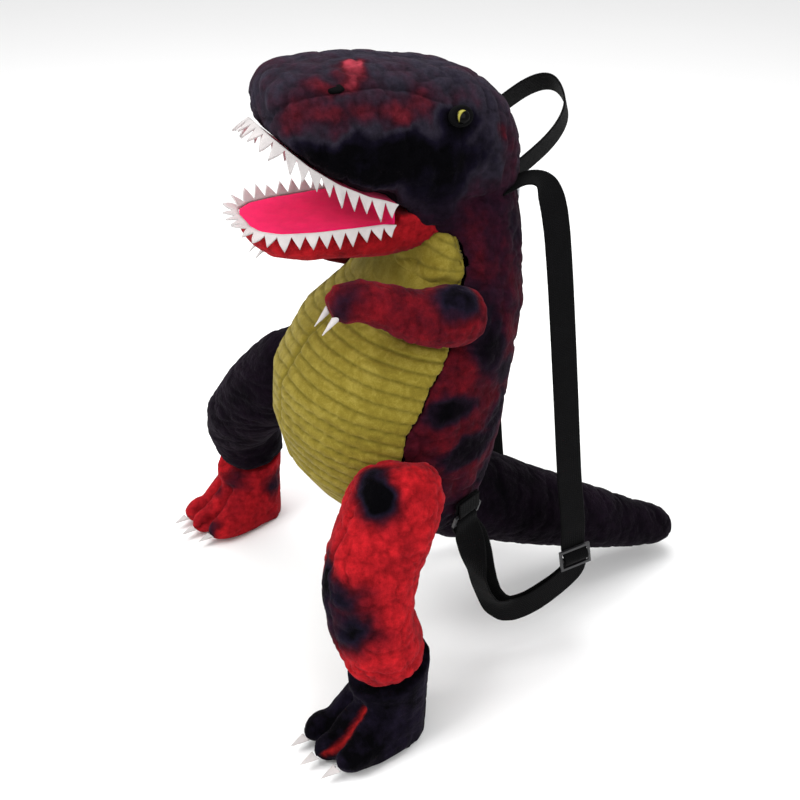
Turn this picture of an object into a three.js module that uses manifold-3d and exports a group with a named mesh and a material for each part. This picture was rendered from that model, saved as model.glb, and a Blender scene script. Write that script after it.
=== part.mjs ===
// Plush dinosaur backpack: the torso is the bag, and the toy stands on two feet and its tail tip.
// Millimetres, +Z up. The animal faces -Y, its left side is +X and its tail runs towards +Y.

import * as THREE from "three";
import { mergeVertices } from "three/addons/utils/BufferGeometryUtils.js";
import Module from "manifold-3d";

const wasm = await Module();
wasm.setup();

// Gaps and cloth
const clearance = 0.3;
const plushWall = 6;
const felt = 2;

// Torso bag
const torsoWidth = 230;
const torsoDepth = 218;
const torsoHeight = 308;
const torsoLift = 128;
const bellyTop = 0.93;
const bellyBottom = 0.04;

// Centre-back zip
const zipSlotWidth = 22;
const zipLength = 236;
const zipTopMargin = 7;
const zipTopSlack = 2;
const sliderSink = 1;
const zipTape = 1.8;
const zipTapeInset = 2;
const zipCoilWidth = 5;
const zipCoilThickness = 2;
const sliderWidth = 9;
const sliderLength = 12;
const sliderThickness = 4.4;
const bridgeBar = 1.4;
const bridgeWidth = 2.2;
const bridgeSpan = 9;
const pullLength = 27;
const pullWidth = 8;
const pullThickness = 1.4;

// Head and mouth
const headLength = 226;
const headWidth = 134;
const headHeight = 114;
const headReach = 134;
const mouthLength = 97;
const jawReach = 148;
const mouthGape = 72;
const jawHeight = 38;
const jawWidth = 108;
const mouthCornerHeight = 19;
const jawRimDrop = 8;
const toothPitch = 14;
const toothLength = 15;
const toothBand = 3;
const eyeSize = 15;
const nostrilSize = 9;

// Limbs
const armLength = 122;
const armThickness = 50;
const legLength = 172;
const legThickness = 88;
const footLength = 80;
const footWidth = 73;
const footHeight = 62;
const cuffHeight = 70;
const cuffWidth = 80;
const toeLength = 46;
const toeWidth = 29;
const toeHeight = 28;
const clawLength = 17;
const clawWidth = 10;
const armClawLength = 13;
const armClawWidth = 8;
const tailLength = 262;
const tailThickness = 94;

// Webbing and its plastic fittings
const webWidth = 25;
const webThickness = 1.6;
const handleReach = 58;
const handleSpan = 50;
const handleTilt = 36;
const handleRise = 36;
const strapStandOff = 48;
const strapDrop = 356;
const strapInset = 44;
const strapSeat = 4;
const strapSpread = 42;
const fittingBar = 2.4;
const fittingWidth = 32;
const gliderPitch = 10;
const ringPitch = 11;
const ringLead = 7;
const tabLength = 16;
const anchorHeight = 50;

// Levels and places that follow from them
const neckLevel = torsoLift + torsoHeight;
const halfPi = Math.PI / 2;
const up = new THREE.Vector3(0, 0, 1);
const across = new THREE.Vector3(1, 0, 0);
const tailward = new THREE.Vector3(0, 1, 0);

const point = (x, y, z) => new THREE.Vector3(x, y, z);

const colours = {
  red: [0xa3232c, 0.95],
  dark: [0x1d1922, 0.95],
  maroon: [0x5c2430, 0.95],
  olive: [0x8f8a2e, 0.95],
  pink: [0xe0447a, 0.9],
  white: [0xf0ede6, 0.9],
  black: [0x101013, 0.8],
  plastic: [0x0c0c0e, 0.4],
  metal: [0x8d9095, 0.35],
};

const part = new THREE.Group();

// A named sub-part with its colour; geometry may be a BufferGeometry or a solid.
function add(name, shape, colour) {
  const [hex, roughness] = colours[colour];
  const metalness = colour === "metal" ? 0.9 : 0;
  const material = new THREE.MeshStandardMaterial({ color: hex, roughness, metalness });
  const geometry = shape.isBufferGeometry ? shape : geometryOf(shape);
  const mesh = new THREE.Mesh(geometry, material);
  mesh.name = name;
  part.add(mesh);
}

function solidOf(geometry) {
  const bare = geometry.clone();
  bare.deleteAttribute("normal");
  bare.deleteAttribute("uv");
  const merged = mergeVertices(bare, 1e-4);
  const made = { numProp: 3, vertProperties: merged.attributes.position.array };
  made.triVerts = new Uint32Array(merged.index.array);
  return new wasm.Manifold(new wasm.Mesh(made));
}

function geometryOf(solid) {
  const mesh = solid.getMesh();
  const geometry = new THREE.BufferGeometry();
  geometry.setAttribute("position", new THREE.BufferAttribute(mesh.vertProperties, 3));
  geometry.setIndex(new THREE.BufferAttribute(mesh.triVerts, 1));
  geometry.computeVertexNormals();
  return geometry;
}

// The largest body of a cut solid, without the slivers that a cut can leave.
function mainBody(solid) {
  return solid.decompose().sort((a, b) => b.volume() - a.volume())[0];
}

// Six times the signed volume of an indexed geometry.
function signedVolume(positions, index) {
  const [a, b, c] = [point(), point(), point()];
  let sum = 0;
  for (let i = 0; i < index.length; i += 3) {
    a.fromArray(positions, 3 * index[i]);
    b.fromArray(positions, 3 * index[i + 1]);
    c.fromArray(positions, 3 * index[i + 2]);
    sum += a.dot(b.cross(c));
  }
  return sum;
}

// A closed skin over rings that hold the same number of points, with a fan on each end.
function skin(rings) {
  const count = rings[0].length;
  const middles = [rings[0], rings.at(-1)].map((ring) =>
    ring.reduce((sum, p) => sum.add(p), point(0, 0, 0)).divideScalar(count),
  );
  const positions = [...rings.flat(), ...middles].flatMap((p) => p.toArray());
  const index = [];
  for (let r = 0; r + 1 < rings.length; r++) {
    for (let i = 0; i < count; i++) {
      const [a, b] = [r * count + i, r * count + ((i + 1) % count)];
      index.push(a, b, b + count, a, b + count, a + count);
    }
  }
  const [first, last] = [rings.length * count, rings.length * count + 1];
  const base = (rings.length - 1) * count;
  for (let i = 0; i < count; i++) {
    const next = (i + 1) % count;
    index.push(first, next, i, last, base + i, base + next);
  }
  if (signedVolume(positions, index) < 0) index.reverse();
  const geometry = new THREE.BufferGeometry();
  geometry.setAttribute("position", new THREE.Float32BufferAttribute(positions, 3));
  geometry.setIndex(index);
  return geometry;
}

// A reader for a table whose first column runs upwards: it gives a row at any value of that column,
// on a smooth curve through the rows.
function reader(rows) {
  const [key, ...names] = Object.keys(rows[0]);
  const keys = rows.map((row) => row[key]);
  const values = rows.flatMap((row) => names.map((name) => row[name]));
  const curve = new THREE.CubicInterpolant(keys, values, names.length);
  return (at) => {
    const found = curve.evaluate(THREE.MathUtils.clamp(at, keys[0], keys.at(-1)));
    return Object.fromEntries(names.map((name, i) => [name, found[i]]));
  };
}

function boxSolid(low, high) {
  const size = high.clone().sub(low);
  const middle = low.clone().add(high).divideScalar(2);
  return solidOf(new THREE.BoxGeometry(...size.toArray()).translate(...middle.toArray()));
}

// Torso: upright oval sections. rise is a share of the torso's height, centre and depth of its
// depth, width of its width.
const torsoRows = [
  { rise: 0.0, centre: 0.02, depth: 0.27, width: 0.4 },
  { rise: 0.03, centre: -0.015, depth: 0.43, width: 0.59 },
  { rise: 0.08, centre: -0.05, depth: 0.57, width: 0.75 },
  { rise: 0.15, centre: -0.085, depth: 0.7, width: 0.87 },
  { rise: 0.235, centre: -0.11, depth: 0.83, width: 0.95 },
  { rise: 0.365, centre: -0.112, depth: 0.925, width: 1.0 },
  { rise: 0.495, centre: -0.09, depth: 0.95, width: 0.99 },
  { rise: 0.623, centre: -0.018, depth: 0.855, width: 0.95 },
  { rise: 0.72, centre: 0.076, depth: 0.71, width: 0.84 },
  { rise: 0.834, centre: 0.128, depth: 0.61, width: 0.69 },
  { rise: 0.916, centre: 0.165, depth: 0.54, width: 0.58 },
  { rise: 1.0, centre: 0.185, depth: 0.46, width: 0.51 },
];
const torsoSides = 36;
const torsoRow = reader(torsoRows);

const torsoLevel = (rise) => torsoLift + rise * torsoHeight;

// Centre and half axes of the torso at a height, swollen by grow on all sides.
function torsoAt(level, grow = 0) {
  const row = torsoRow((level - torsoLift) / torsoHeight);
  const a = (row.width * torsoWidth) / 2 + grow;
  const b = (row.depth * torsoDepth) / 2 + grow;
  return { y: row.centre * torsoDepth, a, b };
}

const torsoBack = (level) => torsoAt(level).y + torsoAt(level).b;

// Point of the torso's side at a height and a place along Y.
function torsoSide(y, level) {
  const { y: centre, a, b } = torsoAt(level);
  return point(a * Math.sqrt(1 - ((y - centre) / b) ** 2), y, level);
}

function torsoSolid(grow) {
  const rings = torsoRows.map(({ rise }, r) => {
    const ends = (r === 0 ? -grow : 0) + (r === torsoRows.length - 1 ? grow : 0);
    const { y, a, b } = torsoAt(torsoLevel(rise), grow);
    return Array.from({ length: torsoSides }, (_, i) => {
      const turn = (2 * Math.PI * (i + 0.5)) / torsoSides;
      return point(a * Math.sin(turn), y - b * Math.cos(turn), torsoLevel(rise) + ends);
    });
  });
  return solidOf(skin(rings));
}

// Belly seam: half the angle, in degrees, that the front panel takes round the torso.
const bellyRows = [
  { rise: bellyBottom, angle: 38 },
  { rise: 0.12, angle: 52 },
  { rise: 0.24, angle: 64 },
  { rise: 0.38, angle: 72 },
  { rise: 0.52, angle: 78 },
  { rise: 0.64, angle: 80 },
  { rise: 0.78, angle: 76 },
  { rise: bellyTop, angle: 66 },
];
const bellyAngle = reader(bellyRows);

// Wedge that the belly panel fills, drawn in on all its sides by inset.
function bellyWedge(inset) {
  const last = bellyRows.length - 1;
  const rings = bellyRows.map(({ rise }, r) => {
    const level = torsoLevel(rise) + (r === 0 ? inset : 0) - (r === last ? inset : 0);
    const { y, a, b } = torsoAt(level);
    const half = THREE.MathUtils.degToRad(bellyAngle(rise).angle) - inset / a;
    const fan = [-1, -0.5, 0, 0.5, 1].map((share) =>
      point(2 * a * Math.sin(share * half), y - 2 * b * Math.cos(share * half), level),
    );
    return [point(0, y, level), ...fan];
  });
  return solidOf(skin(rings));
}

const zipTop = neckLevel - zipTopMargin;
const zipBottom = zipTop - zipLength;

// Box over the zip slot, of a given width and drawn in at its ends.
function zipBox(width, fromEnd, toEnd) {
  const low = point(-width / 2, torsoDepth * 0.1, zipBottom + fromEnd);
  return boxSolid(low, point(width / 2, torsoDepth, zipTop - toEnd));
}

const torsoWall = torsoSolid(0).subtract(torsoSolid(-plushWall));
const torsoNear = torsoSolid(clearance);

function buildTorso() {
  const shell = torsoWall.subtract(bellyWedge(0)).subtract(zipBox(zipSlotWidth, 0, 0));
  add("body_shell", mainBody(shell), "red");
  add("belly_panel", mainBody(torsoWall.intersect(bellyWedge(clearance))), "olive");
}

// Zip: tape and coil follow the back, and the slider stands at the top with its pull hanging.
const sliderLevel = zipTop - clearance - sliderLength / 2 - zipTopSlack;
const sliderFace = torsoBack(sliderLevel) - sliderSink;
const bridgeGap = bridgeBar * 2;
const hingeY = sliderFace + sliderThickness + bridgeGap / 2;

function buildZip() {
  const tapeOut = -zipTapeInset;
  const tape = torsoSolid(tapeOut).subtract(torsoSolid(tapeOut - zipTape));
  const tapeWidth = zipSlotWidth - 2 * clearance;
  add("zip_tape", mainBody(tape.intersect(zipBox(tapeWidth, clearance, clearance))), "black");

  const coilIn = tapeOut + clearance;
  const coil = torsoSolid(coilIn + zipCoilThickness).subtract(torsoSolid(coilIn));
  const coilTop = zipTop - (sliderLevel - sliderLength / 2) + clearance;
  add("zip_coil", mainBody(coil.intersect(zipBox(zipCoilWidth, zipCoilWidth, coilTop))), "black");

  const bodyLow = point(-sliderWidth / 2, sliderFace, sliderLevel - sliderLength / 2);
  const bodySize = point(sliderWidth, sliderThickness, sliderLength);
  const body = boxSolid(bodyLow, bodyLow.clone().add(bodySize));
  const bridgeRoot = sliderFace + sliderThickness;
  const arch = boxSolid(
    point(-bridgeWidth / 2, bridgeRoot - bridgeBar, sliderLevel - bridgeSpan / 2),
    point(bridgeWidth / 2, bridgeRoot + bridgeGap + bridgeBar, sliderLevel + bridgeSpan / 2),
  );
  const window = boxSolid(
    point(-bridgeWidth, bridgeRoot, sliderLevel - bridgeSpan / 2 + bridgeBar),
    point(bridgeWidth, bridgeRoot + bridgeGap, sliderLevel + bridgeSpan / 2 - bridgeBar),
  );
  add("zip_slider", body.add(arch.subtract(window)), "metal");

  // The pull's eye is a window round the bridge, so it swings clear of the bridge's far corner.
  const eyeSide = bridgeWidth / 2 + 2 * clearance;
  const eyeEnd = Math.hypot(bridgeSpan / 2, bridgeGap / 2 + bridgeBar) + 2 * clearance;
  const half = pullThickness / 2;
  const plate = boxSolid(
    point(-pullWidth / 2, hingeY - half, sliderLevel - pullLength),
    point(pullWidth / 2, hingeY + half, sliderLevel + half),
  );
  const eye = boxSolid(
    point(-eyeSide, hingeY - pullThickness, sliderLevel - eyeEnd),
    point(eyeSide, hingeY + pullThickness, sliderLevel - half),
  );
  add("zip_pull", plate.subtract(eye), "metal");
}

// Head: sections from the snout to the nape. along is a share of the head's length, half and
// lip of half its width, roof and floor of its height above the neck seam.
const mouthShare = mouthLength / headLength;
const gapeShare = mouthGape / headHeight;
const cornerShare = (mouthCornerHeight - jawRimDrop) / headHeight;
const headRows = [
  { along: 0.0, half: 0.24, roof: 0.78, floor: gapeShare },
  { along: 0.012, half: 0.47, roof: 0.87, floor: 0.95 * gapeShare },
  { along: 0.05, half: 0.68, roof: 0.94, floor: 0.84 * gapeShare },
  { along: 0.12, half: 0.81, roof: 0.985, floor: 0.64 * gapeShare },
  { along: 0.22, half: 0.88, roof: 1.0, floor: 0.42 * gapeShare },
  { along: 0.33, half: 0.93, roof: 1.0, floor: 0.25 * gapeShare },
  { along: mouthShare, half: 0.97, roof: 1.0, floor: cornerShare },
  { along: mouthShare + 0.01, half: 0.97, roof: 1.0, floor: 0 },
  { along: 0.6, half: 1.0, roof: 0.98, floor: 0 },
  { along: 0.72, half: 0.98, roof: 0.94, floor: 0 },
  { along: 0.83, half: 0.9, roof: 0.85, floor: 0 },
  { along: 0.915, half: 0.75, roof: 0.7, floor: 0 },
  { along: 0.97, half: 0.52, roof: 0.5, floor: 0 },
  { along: 1.0, half: 0.25, roof: 0.3, floor: 0.06 },
];
const lipShare = 0.9;
const headArc = 14;
const headSeat = neckLevel + clearance;

// One head row in millimetres.
function headAt(row, grow = 0) {
  return {
    y: row.along * headLength - headReach,
    half: (row.half * headWidth) / 2 + grow,
    lip: (lipShare * row.half * headWidth) / 2 + grow,
    roof: headSeat + row.roof * headHeight + grow,
    floor: headSeat + row.floor * headHeight - grow,
  };
}

// D-shaped section: a flat floor between the lips, full cheeks and a crowned roof.
function headRing({ y, half, lip, roof, floor }) {
  const cheek = floor + 0.42 * (roof - floor);
  const right = [];
  const lowerSteps = 3;
  for (let i = 0; i <= lowerSteps; i++) {
    const turn = (halfPi * i) / lowerSteps;
    const x = lip + (half - lip) * Math.sin(turn);
    right.push(point(x, y, cheek - (cheek - floor) * Math.cos(turn)));
  }
  for (let i = 1; i < headArc / 2; i++) {
    const turn = (halfPi * 2 * i) / headArc;
    const x = half * Math.cos(turn) ** 0.72;
    right.push(point(x, y, cheek + (roof - cheek) * Math.sin(turn) ** 0.86));
  }
  const left = right.map((p) => point(-p.x, p.y, p.z)).reverse();
  return [point(0, y, floor), ...right, point(0, y, roof), ...left];
}

const headSolid = (grow) => solidOf(skin(headRows.map((row) => headRing(headAt(row, grow)))));
const headNear = headSolid(clearance);

// Mouth stations run from the snout tip to the corner of the mouth.
const mouthRows = headRows.slice(0, 7).map((row) => headAt(row));
const rimLevel = neckLevel - jawRimDrop;

// Lower jaw: along is a share of the mouth's length, half of half the jaw's width, drop of its height.
const jawRows = [
  { along: 0.015, half: 0.3, drop: 0.3 },
  { along: 0.05, half: 0.58, drop: 0.45 },
  { along: 0.16, half: 0.8, drop: 0.66 },
  { along: 0.38, half: 0.92, drop: 0.8 },
  { along: 0.66, half: 0.97, drop: 0.87 },
  { along: 0.985, half: 1.0, drop: 0.95 },
  { along: 1.03, half: 1.0, drop: 0.96 },
  { along: 1.38, half: 0.98, drop: 1.0 },
];

// One jaw row in millimetres; behind the mouth the jaw reaches up to the head.
function jawAt(row) {
  const top = row.along > 1 ? neckLevel - clearance : rimLevel;
  const y = row.along * (mouthLength + jawReach - headReach) - jawReach;
  return { y, half: (row.half * jawWidth) / 2, top, bottom: rimLevel - row.drop * jawHeight };
}

function grownJaw({ y, half, top, bottom }, grow) {
  return { y, half: half + grow, top: top + grow, bottom: bottom - grow };
}

function jawRing({ y, half, top, bottom }) {
  const steps = 10;
  const keel = Array.from({ length: steps + 1 }, (_, i) => {
    const turn = Math.PI * (i / steps);
    const x = half * Math.sign(Math.cos(turn)) * Math.abs(Math.cos(turn)) ** 0.7;
    return point(x, y, top - 4 - (top - 4 - bottom) * Math.sin(turn) ** 0.8);
  });
  return [point(half, y, top), ...keel, point(-half, y, top)];
}

// Flat slab along the mouth between two heights, narrower than its row by inset.
function mouthSlab(rows, level, inset) {
  const rings = rows.map((row) => {
    const x = Math.max(row.half - inset, felt);
    const z = level(row);
    return [point(-x, row.y, z), point(x, row.y, z), point(x, row.y, z + felt), point(-x, row.y, z + felt)];
  });
  return solidOf(skin(rings));
}

// Zig-zag felt strip along a path: each ring of four points leans by the path's own direction.
function teeth(path, count, grow = 0) {
  const curve = new THREE.CurvePath();
  path.slice(1).forEach((row, i) => curve.add(new THREE.LineCurve3(path[i].at, row.at)));
  const steps = 2 * count;
  const rings = Array.from({ length: steps + 1 }, (_, k) => {
    const at = curve.getPointAt(k / steps);
    const way = curve.getTangentAt(k / steps);
    const outward = point(-way.y, way.x, 0).normalize();
    const side = THREE.MathUtils.clamp(at.x / (path[0].at.x || 1), -1, 1);
    const lean = path.lean(side);
    const reach = (k % 2 ? toothLength : toothBand) + grow;
    const along = outward.clone().multiplyScalar(Math.cos(lean)).addScaledVector(up, Math.sin(lean));
    const through = outward.clone().multiplyScalar(-Math.sin(lean)).addScaledVector(up, Math.cos(lean));
    const half = felt / 2 + grow;
    const tipHalf = (k % 2 ? 0.5 : 1) * half;
    return [
      at.clone().addScaledVector(along, -grow).addScaledVector(through, half),
      at.clone().addScaledVector(along, reach).addScaledVector(through, tipHalf),
      at.clone().addScaledVector(along, reach).addScaledVector(through, -tipHalf),
      at.clone().addScaledVector(along, -grow).addScaledVector(through, -half),
    ];
  });
  return solidOf(skin(rings));
}

// Path round a set of mouth rows, from the left corner past the snout to the right corner.
function mouthPath(rows, offset, level) {
  const left = [...rows].reverse().map((row) => ({ at: point(row.half + offset, row.y, level(row)) }));
  const right = rows.map((row) => ({ at: point(-row.half - offset, row.y, level(row)) }));
  return [...left, ...right];
}

function buildHead() {
  add("head", headSolid(0), "maroon");
  const jaw = solidOf(skin(jawRows.map((row) => jawRing(jawAt(row)))));
  const jawNear = solidOf(skin(jawRows.map((row) => jawRing(grownJaw(jawAt(row), clearance)))));
  add("lower_jaw", mainBody(jaw.subtract(torsoNear)), "red");

  const upperRows = mouthRows.map((row) => ({ ...row, half: row.lip }));
  const lowerRows = jawRows.slice(0, 6).map(jawAt);
  const inset = felt + 4 * clearance;
  const upper = mouthSlab(upperRows, (row) => row.floor - clearance - felt, inset);
  const lower = mouthSlab(lowerRows, (row) => row.top + clearance, inset);
  const cornerY = lowerRows.at(-1).y;
  const cornerHalf = upperRows.at(-1).half - inset;
  const fold = boxSolid(
    point(-cornerHalf, cornerY - felt, rimLevel + clearance),
    point(cornerHalf, cornerY, upperRows.at(-1).floor - clearance),
  );
  const count = Math.round((2.3 * mouthLength) / toothPitch);
  const upperPath = mouthPath(upperRows, -felt / 2 - clearance, (row) => row.floor - 2 * clearance);
  upperPath.lean = () => -halfPi;
  const lowerPath = mouthPath(lowerRows, felt * 0.75, (row) => row.top + felt / 2 + clearance);
  lowerPath.lean = (side) => THREE.MathUtils.lerp(halfPi * 0.8, -halfPi * 0.45, (side + 1) / 2);
  const upperNear = teeth(upperPath, count, clearance);
  const lowerNear = teeth(lowerPath, count, clearance);
  const lining = upper.add(lower).add(fold).subtract(upperNear).subtract(lowerNear);
  add("mouth_lining", mainBody(lining), "pink");
  const upperTeeth = teeth(upperPath, count).subtract(headNear).subtract(lowerNear);
  add("upper_teeth", mainBody(upperTeeth), "white");
  add("lower_teeth", mainBody(teeth(lowerPath, count).subtract(jawNear)), "white");

  buildPatch("eye", eyeSize, headLength * 0.655, headHeight * 0.68);
  buildPatch("nostril", nostrilSize, headLength * 0.25, headHeight * 0.86);
}

// Round felt patch that follows the side of the head, on both sides.
function buildPatch(name, size, along, rise) {
  const layer = headSolid(clearance + felt).subtract(headNear);
  for (const [side, turn] of [["left", 1], ["right", -1]]) {
    const plug = new THREE.CylinderGeometry(size / 2, size / 2, headWidth / 2, 12);
    plug.rotateZ(halfPi).translate((turn * headWidth) / 4, along - headReach, neckLevel + rise);
    add(`${side}_${name}`, mainBody(layer.intersect(solidOf(plug))), "black");
  }
}

// Round limb along a path: each row holds a centre, a half width across and a half thickness.
function limb(rows, sides) {
  const curve = new THREE.CatmullRomCurve3(rows.map((row) => row.at));
  const rings = rows.map((row, r) => {
    const way = curve.getTangent(r / (rows.length - 1));
    const wide = point(0, 0, 0).crossVectors(way, row.over ?? up).normalize();
    const thick = point(0, 0, 0).crossVectors(wide, way).normalize();
    return Array.from({ length: sides }, (_, i) => {
      const turn = (2 * Math.PI * i) / sides;
      return row.at
        .clone()
        .addScaledVector(wide, row.wide * Math.cos(turn))
        .addScaledVector(thick, row.thick * Math.sin(turn));
    });
  });
  return skin(rings);
}

// Arm: out and rise are shares of its thickness, forward of its length, thick of half its thickness.
const armRows = [
  { forward: -0.04, out: 0.0, rise: -0.04, thick: 0.45 },
  { forward: 0.02, out: 0.04, rise: -0.02, thick: 0.86 },
  { forward: 0.14, out: 0.08, rise: 0.02, thick: 1.06 },
  { forward: 0.3, out: 0.1, rise: 0.06, thick: 1.0 },
  { forward: 0.46, out: 0.08, rise: 0.14, thick: 0.88 },
  { forward: 0.62, out: 0.02, rise: 0.34, thick: 0.76 },
  { forward: 0.8, out: -0.05, rise: 0.5, thick: 0.72 },
  { forward: 0.93, out: -0.1, rise: 0.46, thick: 0.66 },
  { forward: 1.0, out: -0.12, rise: 0.4, thick: 0.4 },
];
const armRise = 0.755;
const armSides = 12;

function armRoot() {
  const level = torsoLevel(armRise);
  return point(torsoAt(level).a, torsoAt(level).y - torsoDepth * 0.03, level);
}

function buildArm(name, side) {
  const root = armRoot();
  const place = (row) =>
    point(
      side * (root.x + row.out * armThickness),
      root.y - row.forward * armLength,
      root.z + row.rise * armThickness,
    );
  const rows = armRows.map((row) => {
    const half = (row.thick * armThickness) / 2;
    return { at: place(row), wide: half, thick: half };
  });
  const arm = solidOf(limb(rows, armSides));
  add(`${name}_arm`, mainBody(arm.subtract(torsoNear)), "red");
  const hand = place(armRows.at(-2));
  const grip = (armRows.at(-2).thick * armThickness) / 2;
  for (const [finger, shift] of [["inner_claw", -0.5], ["outer_claw", 0.5]]) {
    const claw = new THREE.ConeGeometry(armClawWidth / 2, armClawLength + grip, 8);
    claw.translate(0, (armClawLength + grip) / 2, 0).rotateX(Math.PI * 1.26);
    claw.translate(hand.x + side * shift * grip * 1.1, hand.y, hand.z);
    const near = rows.map((row) => ({ ...row, wide: row.wide + clearance, thick: row.thick + clearance }));
    const cut = solidOf(claw).subtract(solidOf(limb(near, armSides)));
    add(`${name}_arm_${finger}`, mainBody(cut), "white");
  }
}

// Legs: the left one stands nearly straight and the right one is splayed. ankleOut is a share of the
// leg's thickness beyond the torso's side, ankleForward of the torso's depth, toeOut in degrees.
const stances = [
  { name: "left", side: 1, ankleOut: 0.36, ankleForward: 0.41, toeOut: 14 },
  { name: "right", side: -1, ankleOut: 1.36, ankleForward: 0.44, toeOut: -18 },
];
const legRows = [
  { down: 0.0, forward: 0.02, thick: 0.4 },
  { down: 0.05, forward: 0.06, thick: 0.72 },
  { down: 0.13, forward: 0.17, thick: 0.93 },
  { down: 0.27, forward: 0.45, thick: 1.0 },
  { down: 0.45, forward: 0.78, thick: 0.98 },
  { down: 0.62, forward: 0.98, thick: 0.94 },
  { down: 0.78, forward: 0.95, thick: 0.91 },
  { down: 0.92, forward: 0.78, thick: 0.88 },
  { down: 1.0, forward: 0.7, thick: 0.82 },
  { down: 1.07, forward: 0.66, thick: 0.66 },
  { down: 1.13, forward: 0.66, thick: 0.45 },
];
const hipRise = 0.4;
const legBow = 0.55;

// Foot: along is a share of the foot's length from the heel, half of half its width, high of its height.
const footRows = [
  { along: 0.0, half: 0.35, high: 0.4 },
  { along: 0.04, half: 0.6, high: 0.7 },
  { along: 0.14, half: 0.84, high: 0.95 },
  { along: 0.3, half: 0.96, high: 1.0 },
  { along: 0.5, half: 1.0, high: 0.94 },
  { along: 0.68, half: 1.0, high: 0.72 },
  { along: 0.84, half: 0.94, high: 0.53 },
  { along: 0.95, half: 0.75, high: 0.42 },
];
const toeFan = [-1, 0, 1];
const cuffTilt = 0.42;
const cuffTaper = 0.8;
const cuffShift = 0.06;

// Foot in its own frame: the ankle stands over the origin and the toes point to -Y.
function footSolid(grow) {
  const rings = footRows.map(({ along, half, high }, r) => {
    const y = footLength * (0.3 - along) + (r === 0 ? grow : 0);
    const x = (half * footWidth) / 2 + grow;
    const top = high * footHeight + grow;
    const steps = 12;
    const arch = Array.from({ length: steps + 1 }, (_, i) => {
      const turn = Math.PI * (i / steps);
      const reach = x * Math.sign(Math.cos(turn)) * Math.abs(Math.cos(turn)) ** 0.8;
      return point(reach, y, top * (0.12 + 0.88 * Math.sin(turn) ** 0.85));
    });
    return [point(x * 0.9, y, 0), ...arch, point(-x * 0.9, y, 0)];
  });
  const toes = toeFan.map((share) => {
    const toe = new THREE.SphereGeometry(1, 12, 8).rotateX(halfPi);
    toe.scale(toeWidth / 2 + grow, toeLength / 2 + grow, toeHeight / 2 + grow);
    const [x, y] = [share * (footWidth / 2 - toeWidth * 0.45), footLength * -0.62 + Math.abs(share) * 6];
    return solidOf(toe.translate(x, y, toeHeight * 0.47));
  });
  const cuff = new THREE.CylinderGeometry(cuffWidth / 2 + grow, (cuffTaper * cuffWidth) / 2 + grow, 2 * cuffHeight, 16);
  const stood = cuff.rotateX(halfPi).translate(0, cuffWidth * cuffShift, cuffHeight);
  const slanted = solidOf(stood).trimByPlane([0, cuffTilt, -1], (-cuffHeight - grow) / Math.hypot(cuffTilt, 1));
  const whole = toes.reduce((sum, toe) => sum.add(toe), solidOf(skin(rings)).add(slanted));
  const reach = footLength + toeLength;
  return whole.intersect(boxSolid(point(-reach, -reach, 0), point(reach, reach, cuffHeight + reach)));
}

function ankleOf({ side, ankleOut, ankleForward }) {
  return point(side * (torsoWidth / 2 + ankleOut * legThickness), -ankleForward * torsoDepth, 0);
}

function buildLeg(stance) {
  const { name, side, toeOut } = stance;
  const ankle = ankleOf(stance);
  const turned = new THREE.Matrix4().makeRotationZ(THREE.MathUtils.degToRad(side * toeOut));
  turned.setPosition(ankle);
  const foot = footSolid(0).transform(turned.toArray());
  const footNear = footSolid(clearance).transform(turned.toArray());
  add(`${name}_foot`, foot, "dark");

  const hip = point(side * (torsoWidth / 2), -torsoDepth * 0.24, torsoLevel(hipRise));
  const rows = legRows.map(({ down, forward, thick }) => {
    const at = hip.clone().lerp(ankle, down);
    at.x = THREE.MathUtils.lerp(hip.x, ankle.x, Math.min(1, 1.25 * down));
    at.y = hip.y - forward * legBow * legThickness;
    at.z = hip.z - down * legLength;
    const half = (thick * legThickness) / 2;
    return { at, wide: half, thick: half, over: tailward };
  });
  const leg = solidOf(limb(rows, 16)).subtract(torsoNear).subtract(footNear);
  add(`${name}_leg`, mainBody(leg), "red");

  toeFan.forEach((share, i) => {
    const claw = new THREE.ConeGeometry(clawWidth / 2, clawLength + toeLength / 4, 8);
    claw.rotateX(Math.PI * 1.06).translate(
      share * (footWidth / 2 - toeWidth * 0.45),
      footLength * -0.62 + Math.abs(share) * 6 - toeLength / 2 - clawLength / 2 + toeLength / 8,
      clawWidth,
    );
    claw.applyMatrix4(turned);
    add(`${name}_foot_claw_${i + 1}`, mainBody(solidOf(claw).subtract(footNear)), "white");
  });
}

// Tail: along is a share of the tail's length behind the torso, high of its root height, thick of
// half its thickness.
const tailRows = [
  { along: -0.19, high: 1.08, thick: 0.25 },
  { along: -0.165, high: 1.07, thick: 0.6 },
  { along: -0.1, high: 1.06, thick: 0.9 },
  { along: 0.0, high: 1.02, thick: 1.06 },
  { along: 0.16, high: 0.88, thick: 0.98 },
  { along: 0.34, high: 0.7, thick: 0.89 },
  { along: 0.52, high: 0.54, thick: 0.79 },
  { along: 0.7, high: 0.39, thick: 0.68 },
  { along: 0.84, high: 0.285, thick: 0.57 },
  { along: 0.94, high: 0.22, thick: 0.46 },
  { along: 0.985, high: 0.2, thick: 0.34 },
  { along: 1.0, high: 0.195, thick: 0.16 },
];
const tailRootHeight = 132;

function buildTail() {
  const rootY = torsoBack(tailRootHeight);
  const rows = tailRows.map(({ along, high, thick }) => {
    const half = (thick * tailThickness) / 2;
    return { at: point(0, rootY + along * tailLength, high * tailRootHeight), wide: half, thick: half };
  });
  const lying = boxSolid(
    point(-tailThickness, -tailLength, 0),
    point(tailThickness, rootY + 2 * tailLength, 2 * tailRootHeight),
  );
  const tail = solidOf(limb(rows, 18)).intersect(lying).subtract(torsoNear);
  add("tail", mainBody(tail), "dark");
}

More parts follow.
